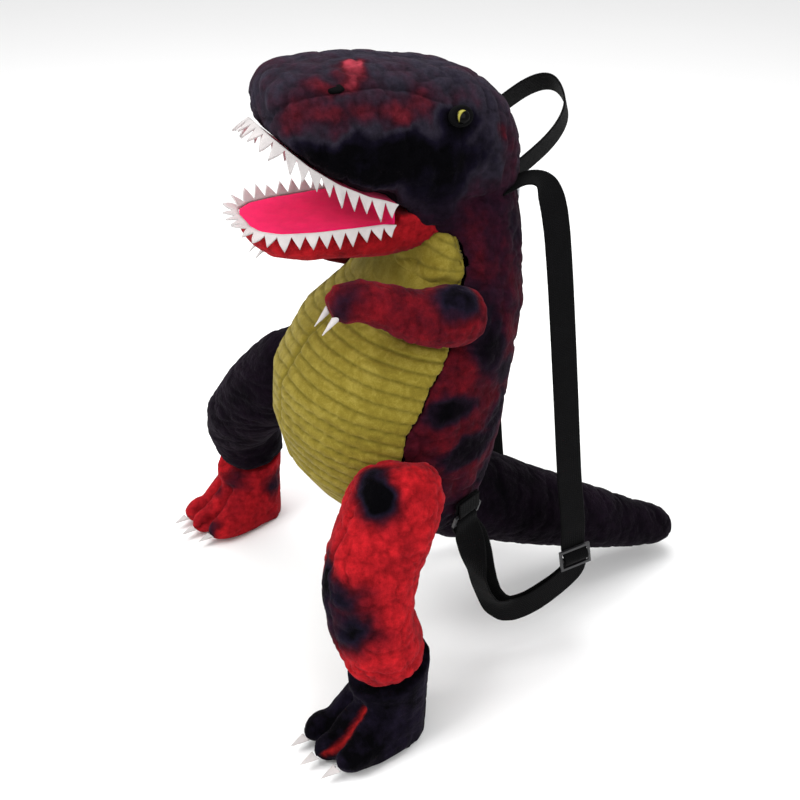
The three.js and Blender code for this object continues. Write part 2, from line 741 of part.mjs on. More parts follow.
// Flat webbing along control points; each has the way its flat face looks.
function ribbon(stops, perGap) {
  const curve = new THREE.CatmullRomCurve3(stops.map((stop) => stop.at));
  const gaps = stops.length - 1;
  const rings = Array.from({ length: gaps * perGap + 1 }, (_, k) => {
    const share = k / (gaps * perGap);
    const at = curve.getPoint(share);
    const way = curve.getTangent(share);
    const i = Math.min(Math.floor(k / perGap), gaps - 1);
    const face = stops[i].face.clone().lerp(stops[i + 1].face, k / perGap - i);
    const wide = point(0, 0, 0).crossVectors(way, face).setLength(webWidth / 2);
    const thick = point(0, 0, 0).crossVectors(wide, way).setLength(webThickness / 2);
    return [[1, 1], [1, -1], [-1, -1], [-1, 1]].map(([w, t]) =>
      at.clone().addScaledVector(wide, w).addScaledVector(thick, t),
    );
  });
  return solidOf(skin(rings));
}

const archFullness = 0.75;

// Carry handle: an arch of webbing behind the head, its left end sewn lower than its right one.
function buildHandle() {
  const nape = headLength - headReach;
  const centre = point(0, nape - 2, neckLevel + handleRise);
  const outward = point(0, 0.84, 0.54).normalize();
  const sideways = point(handleSpan / 2, 0, -handleTilt / 2);
  const steps = 10;
  const arch = Array.from({ length: steps + 1 }, (_, i) => {
    const turn = (Math.PI * i) / steps;
    const out = outward.clone().multiplyScalar(Math.sin(turn) ** archFullness);
    const shift = Math.sign(Math.cos(turn)) * Math.abs(Math.cos(turn)) ** archFullness;
    const face = sideways.clone().normalize().multiplyScalar(shift).add(out);
    const at = centre.clone().addScaledVector(sideways, shift);
    return { at: at.addScaledVector(out, handleReach), face };
  });
  const sewn = [arch[0], arch.at(-1)].map(({ at, face }) => ({
    at: at.clone().addScaledVector(outward, -handleReach / 3),
    face,
  }));
  const strip = ribbon([sewn[0], ...arch, sewn[1]], 2).subtract(headNear).subtract(torsoNear);
  add("carry_handle", mainBody(strip), "black");
}

// A fitting's own axes: along the strap, out of its face, and across it.
function fittingFrame(origin, along, out) {
  const wide = point(0, 0, 0).crossVectors(along, out).normalize();
  const at = (s, n) => origin.clone().addScaledVector(along, s).addScaledVector(out, n);
  const stop = (s, n) => ({ at: at(s, n), face: out });
  const behind = (s, n) => ({ at: at(s, n), face: out.clone().negate() });
  return { origin, along, out, wide, at, stop, behind };
}

// Rectangular plastic frame with one or two slots, its first bar at the frame's origin.
function fitting(frame, slots, pitch) {
  const bar = fittingBar / 2;
  const bars = Array.from({ length: slots + 1 }, (_, i) => i * pitch);
  const slotHalf = fittingWidth / 2 - fittingBar;
  const outline = new THREE.Shape();
  const end = bars.at(-1) + bar;
  outline.moveTo(-fittingWidth / 2, -bar).lineTo(fittingWidth / 2, -bar);
  outline.lineTo(fittingWidth / 2, end).lineTo(-fittingWidth / 2, end).closePath();
  for (const start of bars.slice(0, -1)) {
    const hole = new THREE.Path();
    hole.moveTo(-slotHalf, start + bar).lineTo(slotHalf, start + bar);
    hole.lineTo(slotHalf, start + pitch - bar).lineTo(-slotHalf, start + pitch - bar).closePath();
    outline.holes.push(hole);
  }
  const plate = new THREE.ExtrudeGeometry(outline, { depth: fittingBar, bevelEnabled: false });
  plate.translate(0, 0, -bar);
  const basis = new THREE.Matrix4().makeBasis(frame.wide, frame.along, frame.out);
  return plate.applyMatrix4(basis.setPosition(frame.origin));
}

const nearBar = fittingBar / Math.SQRT2 + clearance + webThickness / 2;
const farBar = nearBar + webThickness + clearance;

// Stops on an arc round a bar that stands at s along a fitting; angles in degrees from its face.
// The strip's face turns with the arc.
function roundBar(frame, s, radius, fromAngle, toAngle, count) {
  return Array.from({ length: count + 1 }, (_, i) => {
    const turn = THREE.MathUtils.degToRad(fromAngle + ((toAngle - fromAngle) * i) / count);
    const arm = frame.along.clone().multiplyScalar(Math.sin(turn)).addScaledVector(frame.out, Math.cos(turn));
    return { at: frame.at(s, 0).addScaledVector(arm, radius), face: arm };
  });
}

// Upper strap: drop is a share of the strap's drop, out of its spread, bow of its stand-off; turned
// says how far the flat face has turned from the top to the side.
const strapRows = [
  { drop: 0.0, out: -0.1, bow: -0.5, turned: 0.0 },
  { drop: -0.022, out: -0.04, bow: -0.1, turned: 0.0 },
  { drop: -0.025, out: 0.03, bow: 0.15, turned: 0.2 },
  { drop: 0.0, out: 0.11, bow: 0.36, turned: 0.6 },
  { drop: 0.06, out: 0.21, bow: 0.48, turned: 0.95 },
  { drop: 0.17, out: 0.33, bow: 0.56, turned: 1.0 },
  { drop: 0.31, out: 0.52, bow: 0.6, turned: 1.0 },
  { drop: 0.45, out: 0.69, bow: 0.64, turned: 1.0 },
  { drop: 0.59, out: 0.81, bow: 0.7, turned: 1.0 },
  { drop: 0.76, out: 0.9, bow: 0.8, turned: 1.0 },
  { drop: 0.9, out: 0.97, bow: 0.92, turned: 1.0 },
];
// Lower loop: along is a share of the way from the slider to the ring, high of the ring's height above
// the slider, apart of the room between its two layers, twist of a quarter turn to the front.
const loopRows = [
  { along: 0.07, high: -0.26, apart: 0.3, twist: 0.0 },
  { along: 0.24, high: -0.34, apart: 0.35, twist: 0.0 },
  { along: 0.44, high: -0.41, apart: 0.35, twist: 0.0 },
  { along: 0.62, high: -0.38, apart: 0.4, twist: 0.25 },
  { along: 0.8, high: -0.14, apart: 1.0, twist: 0.85 },
  { along: 0.91, high: 0.22, apart: 1.6, twist: 1.0 },
  { along: 0.96, high: 0.6, apart: 1.2, twist: 0.4 },
];
const loopRoom = 9;
const loopSettle = 0.3;
const loopSpread = 0.14;
const loopCalm = 0.4;
const forwardFace = point(0.25, -0.95, 0.2);

function buildStrap(name, side) {
  const back = torsoBack(torsoLift + torsoHeight / 2);
  const neck = point(strapInset, back, neckLevel + strapSeat);
  const foot = point(strapInset + strapSpread, back + strapStandOff, neck.z - strapDrop);
  const glider = fittingFrame(foot, point(0, 0.15, -0.99).normalize(), across);
  const slot = gliderPitch;

  const anchorY = torsoDepth * 0.035;
  const anchor = torsoSide(anchorY, torsoLift + anchorHeight);
  const below = torsoSide(anchorY, torsoLift + anchorHeight - tabLength);
  const downSide = below.clone().sub(anchor).normalize();
  const alongSide = torsoSide(anchorY + 1, anchor.z).sub(torsoSide(anchorY - 1, anchor.z));
  const outSide = point(0, 0, 0).crossVectors(downSide, alongSide).normalize();
  const ringOut = 2 * webThickness + nearBar;
  const ring = fittingFrame(anchor.clone().addScaledVector(outSide, ringOut), downSide, outSide);

  const upper = strapRows.map(({ drop, out, bow, turned }) => ({
    at: point(neck.x + out * strapSpread, back + bow * strapStandOff, neck.z - drop * strapDrop),
    face: up.clone().lerp(across, turned).normalize(),
  }));
  // Through the slider: behind its first bar, over the middle one and behind the last.
  const entry = [
    [-1.45 * slot, -nearBar],
    [-slot, -nearBar],
    [-0.81 * slot, -0.91 * nearBar],
    [-0.64 * slot, -0.3 * nearBar],
    [-0.46 * slot, 0.55 * nearBar],
  ];
  const over = [-46, -23, 0, 23, 46].map((angle) => {
    const turn = THREE.MathUtils.degToRad(angle);
    return [farBar * Math.sin(turn), farBar * Math.cos(turn)];
  });
  const exit = entry.map(([s, n]) => [-s, n]).reverse();
  const weave = [...entry, ...over, ...exit].map(([s, n]) => glider.stop(s, n));

  // The loop's two layers lie face to face near the slider and part on the way to the ring.
  const layer = (inward) =>
    loopRows.map(({ along, high, apart, twist }) => {
      const at = foot.clone().lerp(ring.at(ringPitch, 0), along);
      at.z = foot.z + high * (ring.origin.z - foot.z);
      const parted = (0.5 - inward) * 2 * apart * (nearBar + clearance) - inward * nearBar;
      const settled = THREE.MathUtils.smoothstep(along, loopRows[0].along, loopSettle);
      at.x += THREE.MathUtils.lerp(-nearBar * (1 + inward), parted, settled);
      at.y += inward * Math.max(0, apart - 0.4) * loopRoom;
      at.z += inward * Math.max(0, apart - 0.4) * loopSpread * loopRoom;
      const quarter = twist * (1 - loopCalm * inward);
      const face = across.clone().lerp(forwardFace, quarter).normalize();
      return { at, face: inward ? face.negate() : face };
    });
  const ringWrap = [
    ring.stop(ringPitch + ringLead, nearBar + clearance),
    ...roundBar(ring, ringPitch, nearBar, 0, -180, 4),
    ring.behind(ringPitch + ringLead, -nearBar),
  ];
  const lay = 2 * nearBar;
  const barWrap = [
    glider.behind(1.45 * slot, -lay - 0.2),
    glider.behind(slot, -lay),
    glider.behind(0.6 * slot, -1.6 * nearBar),
    glider.behind(0.25 * slot, -1.06 * nearBar),
    ...roundBar(glider, 0, nearBar, 180, 444, 7),
  ];
  const stops = [...upper, ...weave, ...layer(0), ...ringWrap, ...layer(1).reverse(), ...barWrap];

  const seatLevel = -ringOut + webThickness;
  const tabStops = [
    ring.behind(-tabLength, seatLevel),
    ring.behind(-tabLength / 2, seatLevel),
    ring.behind(-1.3 * nearBar, -nearBar),
    ...roundBar(ring, 0, nearBar, 180, 0, 4),
    ring.stop(-1.8 * nearBar, 0.1 * nearBar),
    ring.stop(-tabLength, seatLevel + webThickness + clearance),
  ];

  const mirror = new THREE.Matrix4().makeScale(side, 1, 1);
  const placed = (solid) => (side > 0 ? solid : solid.transform(mirror.toArray()));
  const strap = ribbon(stops, 2).subtract(headNear).subtract(torsoNear);
  add(`${name}_strap`, placed(mainBody(strap)), "black");
  const slider = fittingFrame(glider.at(-slot, 0), glider.along, glider.out);
  add(`${name}_strap_slider`, placed(solidOf(fitting(slider, 2, slot))), "plastic");
  add(`${name}_strap_ring`, placed(solidOf(fitting(ring, 1, ringPitch))), "plastic");
  add(`${name}_anchor_tab`, placed(mainBody(ribbon(tabStops, 2).subtract(torsoNear))), "black");
}

buildTorso();
buildZip();
buildHead();
buildArm("left", 1);
buildArm("right", -1);
stances.forEach(buildLeg);
buildTail();
buildHandle();
buildStrap("left", 1);
buildStrap("right", -1);

// The part's origin is the middle of its outer box, on the floor.
const bounds = new THREE.Box3().setFromObject(part, true);
const middle = bounds.getCenter(point());
part.position.set(-middle.x, -middle.y, -bounds.min.z);

export default part;
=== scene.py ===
"""Looks of the plush dinosaur backpack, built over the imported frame. Metres, +Z up, the animal faces -Y."""

import math

import bmesh
import bpy
import numpy as np
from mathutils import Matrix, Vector
from mathutils.kdtree import KDTree


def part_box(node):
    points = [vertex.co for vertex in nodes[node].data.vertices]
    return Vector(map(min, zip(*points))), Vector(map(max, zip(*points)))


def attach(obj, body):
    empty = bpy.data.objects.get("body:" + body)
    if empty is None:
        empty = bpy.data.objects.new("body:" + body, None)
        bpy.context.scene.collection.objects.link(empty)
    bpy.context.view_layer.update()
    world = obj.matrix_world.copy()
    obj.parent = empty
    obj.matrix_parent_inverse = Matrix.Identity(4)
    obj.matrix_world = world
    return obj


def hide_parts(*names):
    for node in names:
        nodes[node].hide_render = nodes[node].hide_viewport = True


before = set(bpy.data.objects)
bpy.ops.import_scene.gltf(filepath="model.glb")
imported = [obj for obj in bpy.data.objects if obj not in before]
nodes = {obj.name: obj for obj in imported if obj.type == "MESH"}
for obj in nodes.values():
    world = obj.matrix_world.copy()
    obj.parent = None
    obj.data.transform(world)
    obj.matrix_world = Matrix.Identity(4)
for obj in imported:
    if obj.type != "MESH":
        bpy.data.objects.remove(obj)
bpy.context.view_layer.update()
scene = bpy.context.scene

# Places below are in millimetres from the middle of the bag, at floor level: x to the animal's left, y to
# its tail, z up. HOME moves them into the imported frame.
MM = 0.001
SNOUT_REACH = 0.134  # from the snout's tip back to the middle of the bag
head_low, head_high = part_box("head")
HOME = np.array([(head_low[0] + head_high[0]) / 2, head_low[1] + SNOUT_REACH, 0.0])


def place(x, y, z):
    return HOME + MM * np.array([x, y, z])


def aim(thing, spot, target):
    """Puts a camera or a lamp at spot, looking at target."""
    thing.location = Vector(spot)
    thing.rotation_euler = Vector(np.subtract(target, spot)).to_track_quat("-Z", "Y").to_euler()


# Camera, fitted to the photograph
camera_data = bpy.data.cameras.new("camera")
camera_data.lens = 57.15
camera_data.sensor_width = 36.0
camera = bpy.data.objects.new("camera", camera_data)
scene.collection.objects.link(camera)
aim(camera, place(934.7, -408.1, 779.6), place(0, -11.3, 239.7))
scene.camera = camera


# Noise fields over points, in numpy
HASH_STEPS = (374761393, 668265263, 2147483647, 144665)
HASH_MIX = (1274126177, 668265263)
WORD = np.int64(0xFFFFFFFF)
HALF_WORD = 0xFFFF
OCTAVE_SEED = 17


def lattice(cell, seed):
    """Value from 0 to 1 for each whole-numbered cell."""
    x, y, z = cell.T
    a, b, c, d = HASH_STEPS
    h = (x * a + y * b + z * c + seed * d) & WORD
    h = ((h ^ (h >> 13)) * HASH_MIX[0]) & WORD
    h = ((h ^ (h >> 16)) * HASH_MIX[1]) & WORD
    return ((h ^ (h >> 15)) & HALF_WORD) / float(HALF_WORD)


def cloud(points, size, seed=0, octaves=2):
    """Smooth noise from -1 to 1 with blobs of about size."""
    total = np.zeros(len(points))
    weight, norm = 1.0, 0.0
    for octave in range(octaves):
        q = points / np.asarray(size) * 2**octave
        base = np.floor(q).astype(np.int64)
        f = q - base
        f = f * f * (3 - 2 * f)
        value = np.zeros(len(points))
        for corner in range(8):
            step = np.array([corner & 1, corner >> 1 & 1, corner >> 2 & 1])
            share = np.prod(np.where(step, f, 1 - f), axis=1)
            value += share * lattice(base + step, seed + OCTAVE_SEED * octave)
        total += weight * (2 * value - 1)
        norm += weight
        weight *= 0.5
    return total / norm


def cells(points, size, seed=0):
    """Distance to the border between the nearest cell centres, 0 on the border, in shares of size."""
    q = points / np.asarray(size)
    base = np.floor(q).astype(np.int64)
    first = np.full(len(points), 9.0)
    second = np.full(len(points), 9.0)
    for i in range(27):
        cell = base + np.array([i % 3 - 1, i // 3 % 3 - 1, i // 9 - 1])
        spot = cell + np.stack([lattice(cell, seed + k) for k in range(3)], axis=1)
        d = np.linalg.norm(spot - q, axis=1)
        second = np.where(d < first, first, np.minimum(second, d))
        first = np.minimum(first, d)
    return second - first


def ramp(value, low, high):
    t = np.clip((value - low) / (high - low), 0, 1)
    return t * t * (3 - 2 * t)


def line_distance(points, line):
    """Distance of each point to a polyline, and how far along it the nearest place is."""
    best = np.full(len(points), 1e9)
    along = np.zeros(len(points))
    start = 0.0
    for a, b in zip(line[:-1], line[1:]):
        way = b - a
        length = np.linalg.norm(way)
        t = np.clip((points - a) @ way / length**2, 0, 1)
        d = np.linalg.norm(points - a - t[:, None] * way, axis=1)
        along = np.where(d < best, start + t * length, along)
        best = np.minimum(best, d)
        start += length
    return best, along


# Mesh tools
def link(name, mesh):
    piece = bpy.data.objects.new(name, mesh)
    scene.collection.objects.link(piece)
    return piece


def link_built(name, built):
    """Links what was built in a bmesh, and frees it."""
    mesh = bpy.data.meshes.new(name)
    built.to_mesh(mesh)
    built.free()
    return link(name, mesh)


def face_outwards(mesh, weld=0.0):
    fix = bmesh.new()
    fix.from_mesh(mesh)
    if weld:
        bmesh.ops.remove_doubles(fix, verts=fix.verts, dist=weld)
    bmesh.ops.recalc_face_normals(fix, faces=fix.faces)
    fix.to_mesh(mesh)
    fix.free()


def apply_modifiers(piece):
    graph = bpy.context.evaluated_depsgraph_get()
    graph.update()
    mesh = bpy.data.meshes.new_from_object(piece.evaluated_get(graph))
    old = piece.data
    piece.modifiers.clear()
    piece.data = mesh
    bpy.data.meshes.remove(old)


def coords(piece):
    co = np.empty(3 * len(piece.data.vertices))
    piece.data.vertices.foreach_get("co", co)
    return co.reshape(-1, 3)


def local_mm(piece):
    """Places of the points in the millimetres that place() takes."""
    return (coords(piece) - HOME) / MM


def set_coords(piece, co):
    piece.data.vertices.foreach_set("co", np.ascontiguousarray(co, dtype=np.float32).ravel())
    piece.data.update()


def normals(piece):
    n = np.empty(3 * len(piece.data.vertices))
    piece.data.vertices.foreach_get("normal", n)
    return n.reshape(-1, 3)


def relax(piece, times, keep=0.5):
    """Evens the surface out and puts back the size that this takes."""
    edges = np.empty(2 * len(piece.data.edges), dtype=np.int64)
    piece.data.edges.foreach_get("vertices", edges)
    a, b = edges.reshape(-1, 2).T
    co = coords(piece)
    count = np.bincount(a, minlength=len(co)) + np.bincount(b, minlength=len(co))
    for step in range(2 * times):
        mean = np.empty_like(co)
        for k in range(3):
            mean[:, k] = np.bincount(a, co[b, k], len(co)) + np.bincount(b, co[a, k], len(co))
        mean /= count[:, None]
        factor = keep if step % 2 == 0 else -keep * 0.96
        co += factor * (mean - co)
    set_coords(piece, co)


def soft_copy(name, sources, voxel, smooth=6):
    """A fine, even skin over CAD nodes and other objects."""
    joined = bmesh.new()
    for source in sources:
        joined.from_mesh(nodes[source].data if isinstance(source, str) else source.data)
    piece = link_built(name, joined)
    remesh = piece.modifiers.new("remesh", "REMESH")
    remesh.mode = "VOXEL"
    remesh.voxel_size = voxel
    apply_modifiers(piece)
    relax(piece, smooth)
    return piece


def subdivide(piece, levels=1):
    modifier = piece.modifiers.new("subdivide", "SUBSURF")
    modifier.levels = levels
    modifier.render_levels = levels
    apply_modifiers(piece)


CLOTH_FRAMES = 20


def puff(piece, pressure, start, cap):
    """Stuffs a closed skin by cloth simulation: it starts smaller by start and no point moves over cap."""
    set_coords(piece, coords(piece) - start * normals(piece))
    rest = coords(piece)
    cloth = piece.modifiers.new("cloth", "CLOTH")
    settings = cloth.settings
    settings.quality = 4
    settings.mass = 0.3
    settings.tension_stiffness = 18
    settings.compression_stiffness = 18
    settings.shear_stiffness = 6
    settings.bending_stiffness = 0.8
    settings.use_pressure = True
    settings.uniform_pressure_force = pressure
    settings.effector_weights.gravity = 0
    cloth.collision_settings.use_collision = False
    cloth.point_cache.frame_start = 1
    cloth.point_cache.frame_end = CLOTH_FRAMES
    for number in range(1, CLOTH_FRAMES + 1):
        scene.frame_set(number)
    apply_modifiers(piece)
    scene.frame_set(1)
    moved = coords(piece) - rest
    length = np.maximum(np.linalg.norm(moved, axis=1), 1e-9)
    set_coords(piece, rest + moved * np.minimum(1, cap / length)[:, None])


def shade_smooth(piece):
    piece.data.polygons.foreach_set("use_smooth", np.ones(len(piece.data.polygons), dtype=bool))


def finish_piece(piece, stands_for, material, body="bag"):
    shade_smooth(piece)
    piece.data.materials.clear()
    piece.data.materials.append(material)
    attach(piece, body)
    if stands_for:
        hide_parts(*stands_for)
    return piece


def rounded(name, width, material):
    """Keeps a hard CAD piece and rounds its edges."""
    bevel = nodes[name].modifiers.new("bevel", "BEVEL")
    bevel.width = width
    bevel.segments = 2
    nodes[name].data.materials.clear()
    nodes[name].data.materials.append(material)


# Materials
class Nodes:
    """Short calls for building a node tree."""

    def __init__(self, name):
        self.material = bpy.data.materials.new(name)
        self.material.use_nodes = True
        self.tree = self.material.node_tree
        self.shader = self.tree.nodes["Principled BSDF"]
        self.coordinates = self.tree.nodes.new("ShaderNodeTexCoord").outputs["Object"]

    def put(self, socket, value):
        if isinstance(value, bpy.types.NodeSocket):
            self.tree.links.new(value, socket)
        else:
            socket.default_value = value

    def math(self, kind, *values, clamp=False):
        node = self.tree.nodes.new("ShaderNodeMath")
        node.operation = kind
        node.use_clamp = clamp
        for socket, value in zip(node.inputs, values):
            self.put(socket, value)
        return node.outputs[0]

    def vector(self, kind, *values):
        node = self.tree.nodes.new("ShaderNodeVectorMath")
        node.operation = kind
        for socket, value in zip(node.inputs, values):
            self.put(socket, value)
        return node.outputs["Value"] if kind in ("LENGTH", "DOT_PRODUCT") else node.outputs["Vector"]

    def scaled(self, vector, factor):
        node = self.tree.nodes.new("ShaderNodeVectorMath")
        node.operation = "SCALE"
        self.put(node.inputs[0], vector)
        self.put(node.inputs["Scale"], factor)
        return node.outputs["Vector"]

    def split(self, vector):
        node = self.tree.nodes.new("ShaderNodeSeparateXYZ")
        self.put(node.inputs[0], vector)
        return node.outputs

    def groove(self):
        """What mark() left on the mesh: 1 at the bottom of a seam or fold, where the materials darken the
        colour as painted shade; on the left foot's toe grooves they put the cloth's own red instead.
        """
        node = self.tree.nodes.new("ShaderNodeAttribute")
        node.attribute_name = "groove"
        return node.outputs["Fac"]

    def noise(self, scale, detail=2.0, roughness=0.5, vector=None, colour=False, distortion=0.0):
        node = self.tree.nodes.new("ShaderNodeTexNoise")
        self.put(node.inputs["Vector"], vector or self.coordinates)
        node.inputs["Scale"].default_value = scale
        node.inputs["Detail"].default_value = detail
        node.inputs["Roughness"].default_value = roughness
        node.inputs["Distortion"].default_value = distortion
        return node.outputs["Color" if colour else "Fac"]

    def warped(self, scale, amount):
        """Coordinates pushed about by noise."""
        push = self.vector("SUBTRACT", self.noise(scale, colour=True), (0.5, 0.5, 0.5))
        return self.vector("ADD", self.coordinates, self.scaled(push, amount))

    def ramp(self, value, stops):
        node = self.tree.nodes.new("ShaderNodeValToRGB")
        elements = node.color_ramp.elements
        while len(elements) < len(stops):
            elements.new(0.5)
        for element, (position, colour) in zip(elements, stops):
            element.position = position
            element.color = (*colour, 1)
        self.put(node.inputs["Fac"], value)
        return node.outputs["Color"]

    def span(self, value, low, high, to_low=0.0, to_high=1.0, smooth=True):
        node = self.tree.nodes.new("ShaderNodeMapRange")
        node.interpolation_type = "SMOOTHSTEP" if smooth else "LINEAR"
        for socket, number in zip(node.inputs[:5], (value, low, high, to_low, to_high)):
            self.put(socket, number)
        return node.outputs["Result"]

    def mix(self, factor, a, b):
        node = self.tree.nodes.new("ShaderNodeMix")
        node.data_type = "RGBA"
        self.put(node.inputs["Factor"], factor)
        for socket, value in ((node.inputs[6], a), (node.inputs[7], b)):
            self.put(socket, (*value, 1) if isinstance(value, tuple) else value)
        return node.outputs[2]

    def bump(self, height, strength, distance, normal=None):
        node = self.tree.nodes.new("ShaderNodeBump")
        node.inputs["Strength"].default_value = strength
        node.inputs["Distance"].default_value = distance
        self.put(node.inputs["Height"], height)
        if normal is not None:
            self.put(node.inputs["Normal"], normal)
        return node.outputs["Normal"]

    def set(self, **values):
        for name, value in values.items():
            self.put(self.shader.inputs[name.replace("_", " ").title().replace("Ior", "IOR")], value)


BLACK = (0.0008, 0.0007, 0.0012)
MAROON = (0.055, 0.004, 0.008)
CRIMSON = (0.18, 0.006, 0.010)
SCARLET = (0.40, 0.010, 0.014)


def dyed_plush(name, stops, level, spread, blobs, crease_shade_and_stripe_weight=0.55, size=0.05, seed=0.0, crease_shade_and_stripe_colour=BLACK,
               upper=None):
    """Velvet plush with tie-dye: a field from 0 to 1 runs through the colour stops. blobs lift or lower it
    round a place: (centre in mm, radii in mm, amount)."""
    n = Nodes(name)
    moved = n.vector("ADD", n.coordinates, (seed, seed * 0.7, seed * 1.3))
    field = n.noise(1 / size, 3.0, 0.55, vector=moved, distortion=0.4)
    value = n.math("MULTIPLY_ADD", field, spread * 2, level - spread)
    broken = n.noise(42, 4.0, 0.6, vector=moved)
    value = n.math("ADD", value, n.span(broken, 0.25, 0.75, -0.12, 0.12, smooth=False))
    wobble = n.warped(26, 0.038)
    for centre, radii, amount in blobs:
        away = n.vector("SUBTRACT", wobble, tuple(place(*centre)))
        away = n.vector("MULTIPLY", away, tuple(1000 / r for r in radii))
        lift = n.span(n.vector("LENGTH", away), 0.3, 1.25, amount, 0.0)
        value = n.math("ADD", value, lift)
    value = n.math("ADD", value, 0.0, clamp=True)
    colour = n.ramp(value, stops)
    # painted light: above the neck the head's ramp takes over, its navy-grey lighter than the bag's, partly
    # the head's dye and partly light falling on its top
    if upper:
        head_dye_and_top_light_stops, z_low, z_high = upper
        height = n.split(wobble)["Z"]
        colour = n.mix(n.span(height, z_low, z_high), colour, n.ramp(value, head_dye_and_top_light_stops))
    # painted shade: at the bottoms of seams, folds and scale borders the colour goes towards the groove
    # colour, black unless given; the left foot gives red, its cloth's own colour in the toe grooves
    colour = n.mix(n.math("MULTIPLY", n.groove(), crease_shade_and_stripe_weight), colour, crease_shade_and_stripe_colour)
    pile = n.noise(1400, 2.0, 0.6)
    sweep = n.noise(160, 3.0, 0.6)
    shade = n.span(n.math("ADD", n.math("MULTIPLY", pile, 0.4), sweep), 0.35, 1.05, 0.45, 1.6, smooth=False)
    tone = n.scaled(colour, shade)
    normal = n.bump(sweep, 0.75, 0.0018)
    normal = n.bump(pile, 0.6, 0.0008, normal)
    n.set(Base_Color=tone, Roughness=0.85, Normal=normal)
    n.set(Sheen_Weight=0.045, Sheen_Roughness=0.36, Sheen_Tint=(0.8, 0.68, 0.85, 1.0))
    n.set(Specular_Ior_Level=0.02)
    return n.material


def felt(name, colour, sheen):
    n = Nodes(name)
    fibre = n.noise(900, 4.0, 0.7, distortion=1.5)
    patch = n.noise(70, 3.0, 0.6)
    shade = n.span(n.math("ADD", n.math("MULTIPLY", fibre, 0.5), patch), 0.3, 1.2, 0.8, 1.18, smooth=False)
    tone = n.scaled(colour, shade)
    normal = n.bump(fibre, 0.4, 0.0005)
    normal = n.bump(patch, 0.3, 0.002, normal)
    n.set(Base_Color=tone, Roughness=0.9, Normal=normal, Sheen_Weight=sheen, Sheen_Roughness=0.5)
    n.set(Specular_Ior_Level=0.08)
    return n.material


def ribbed_plush(name):
    """Olive plush with a nap of random tone; the grooves between the ribs, the centre seam and the gathers
    are darkened as painted shade, so the crowns look lighter.
    """
    n = Nodes(name)
    pile = n.noise(1100, 3.0, 0.65)
    sweep = n.noise(95, 3.0, 0.6, distortion=0.8)
    broad = n.noise(14, 2.0)
    value = n.math("ADD", n.math("MULTIPLY", pile, 0.35), n.math("MULTIPLY", sweep, 0.5))
    value = n.math("ADD", value, n.math("MULTIPLY", broad, 0.3))
    tone = n.ramp(value, [(0.34, (0.10, 0.074, 0.006)), (0.56, (0.185, 0.142, 0.014)),
                          (0.78, (0.30, 0.24, 0.042))])
    # painted shade in the grooves that mark() left
    tone = n.mix(n.math("MULTIPLY", n.groove(), 0.62), tone, (0.085, 0.07, 0.006))
    normal = n.bump(sweep, 0.4, 0.0012)
    normal = n.bump(pile, 0.4, 0.0006, normal)
    n.set(Base_Color=tone, Roughness=0.85, Normal=normal, Specular_Ior_Level=0.15)
    n.set(Sheen_Weight=0.12, Sheen_Roughness=0.4, Sheen_Tint=(0.95, 0.9, 0.6, 1.0))
    return n.material


CORD_PITCH, PICK_PITCH, TWILL_PITCH = 0.0021, 0.0016, 0.0024


def webbing_cloth(name):
    """Black webbing: cords run along it and fine picks cross it, read from its own flat coordinates."""
    n = Nodes(name)
    uv = n.tree.nodes.new("ShaderNodeUVMap")
    uv.uv_map = "strip"
    along, over, _ = n.split(uv.outputs["UV"])
    cords = n.math("ABSOLUTE", n.math("SINE", n.math("MULTIPLY", over, math.pi / CORD_PITCH)))
    picks = n.math("SINE", n.math("MULTIPLY", along, 2 * math.pi / PICK_PITCH))
    lean = n.math("SINE", n.math("ADD", n.math("MULTIPLY", along, 2 * math.pi / TWILL_PITCH),
                                 n.math("MULTIPLY", over, math.pi / CORD_PITCH)))
    height = n.math("ADD", n.math("MULTIPLY", cords, 0.7), n.math("MULTIPLY", lean, 0.22))
    height = n.math("ADD", height, n.math("MULTIPLY", picks, 0.12))
    worn = n.noise(55, 3.0)
    # painted light and shade: the raised cords are lighter and the hollows between them darker, on top of the
    # wear noise
    tone = n.ramp(n.math("ADD", n.math("MULTIPLY", height, 0.35), n.math("MULTIPLY", worn, 0.6)),
                  [(0.25, (0.0004, 0.0004, 0.0005)), (0.95, (0.0028, 0.0028, 0.0034))])
    normal = n.bump(height, 0.6, 0.0006)
    n.set(Base_Color=tone, Roughness=0.75, Normal=normal, Specular_Ior_Level=0.07)
    n.set(Sheen_Weight=0.01, Sheen_Roughness=0.4)
    return n.material


def moulded(name, colour, roughness, metallic=0.0):
    n = Nodes(name)
    grain = n.noise(1500, 2.0)
    wear = n.noise(60, 4.0, 0.65)
    rough = n.span(wear, 0.3, 0.75, roughness - 0.08, roughness + 0.12)
    tone = n.mix(wear, tuple(c * 0.8 for c in colour), tuple(min(1, c * 1.3) for c in colour))
    n.set(Base_Color=tone, Roughness=rough, Metallic=metallic, Normal=n.bump(grain, 0.15, 0.0003))
    return n.material


# Dye stops, from the field's 0 to its 1
RED_TO_BLACK = [(0.0, SCARLET), (0.3, CRIMSON), (0.52, MAROON), (0.72, (0.017, 0.005, 0.012)),
                (0.86, (0.007, 0.005, 0.012)), (1.0, BLACK)]
DARK = [(0.0, CRIMSON), (0.25, MAROON), (0.45, (0.020, 0.004, 0.010)), (0.62, (0.008, 0.004, 0.009)),
        (1.0, BLACK)]
# the head's stops: its navy-grey is lighter than the bag's, partly dye and partly painted light on the head's
# top
HEAD_DYE_AND_TOP_LIGHT = [(0.0, (0.26, 0.028, 0.042)), (0.25, (0.070, 0.007, 0.012)), (0.45, (0.026, 0.008, 0.015)),
        (0.62, (0.019, 0.016, 0.025)), (0.8, (0.004, 0.003, 0.008)), (1.0, BLACK)]

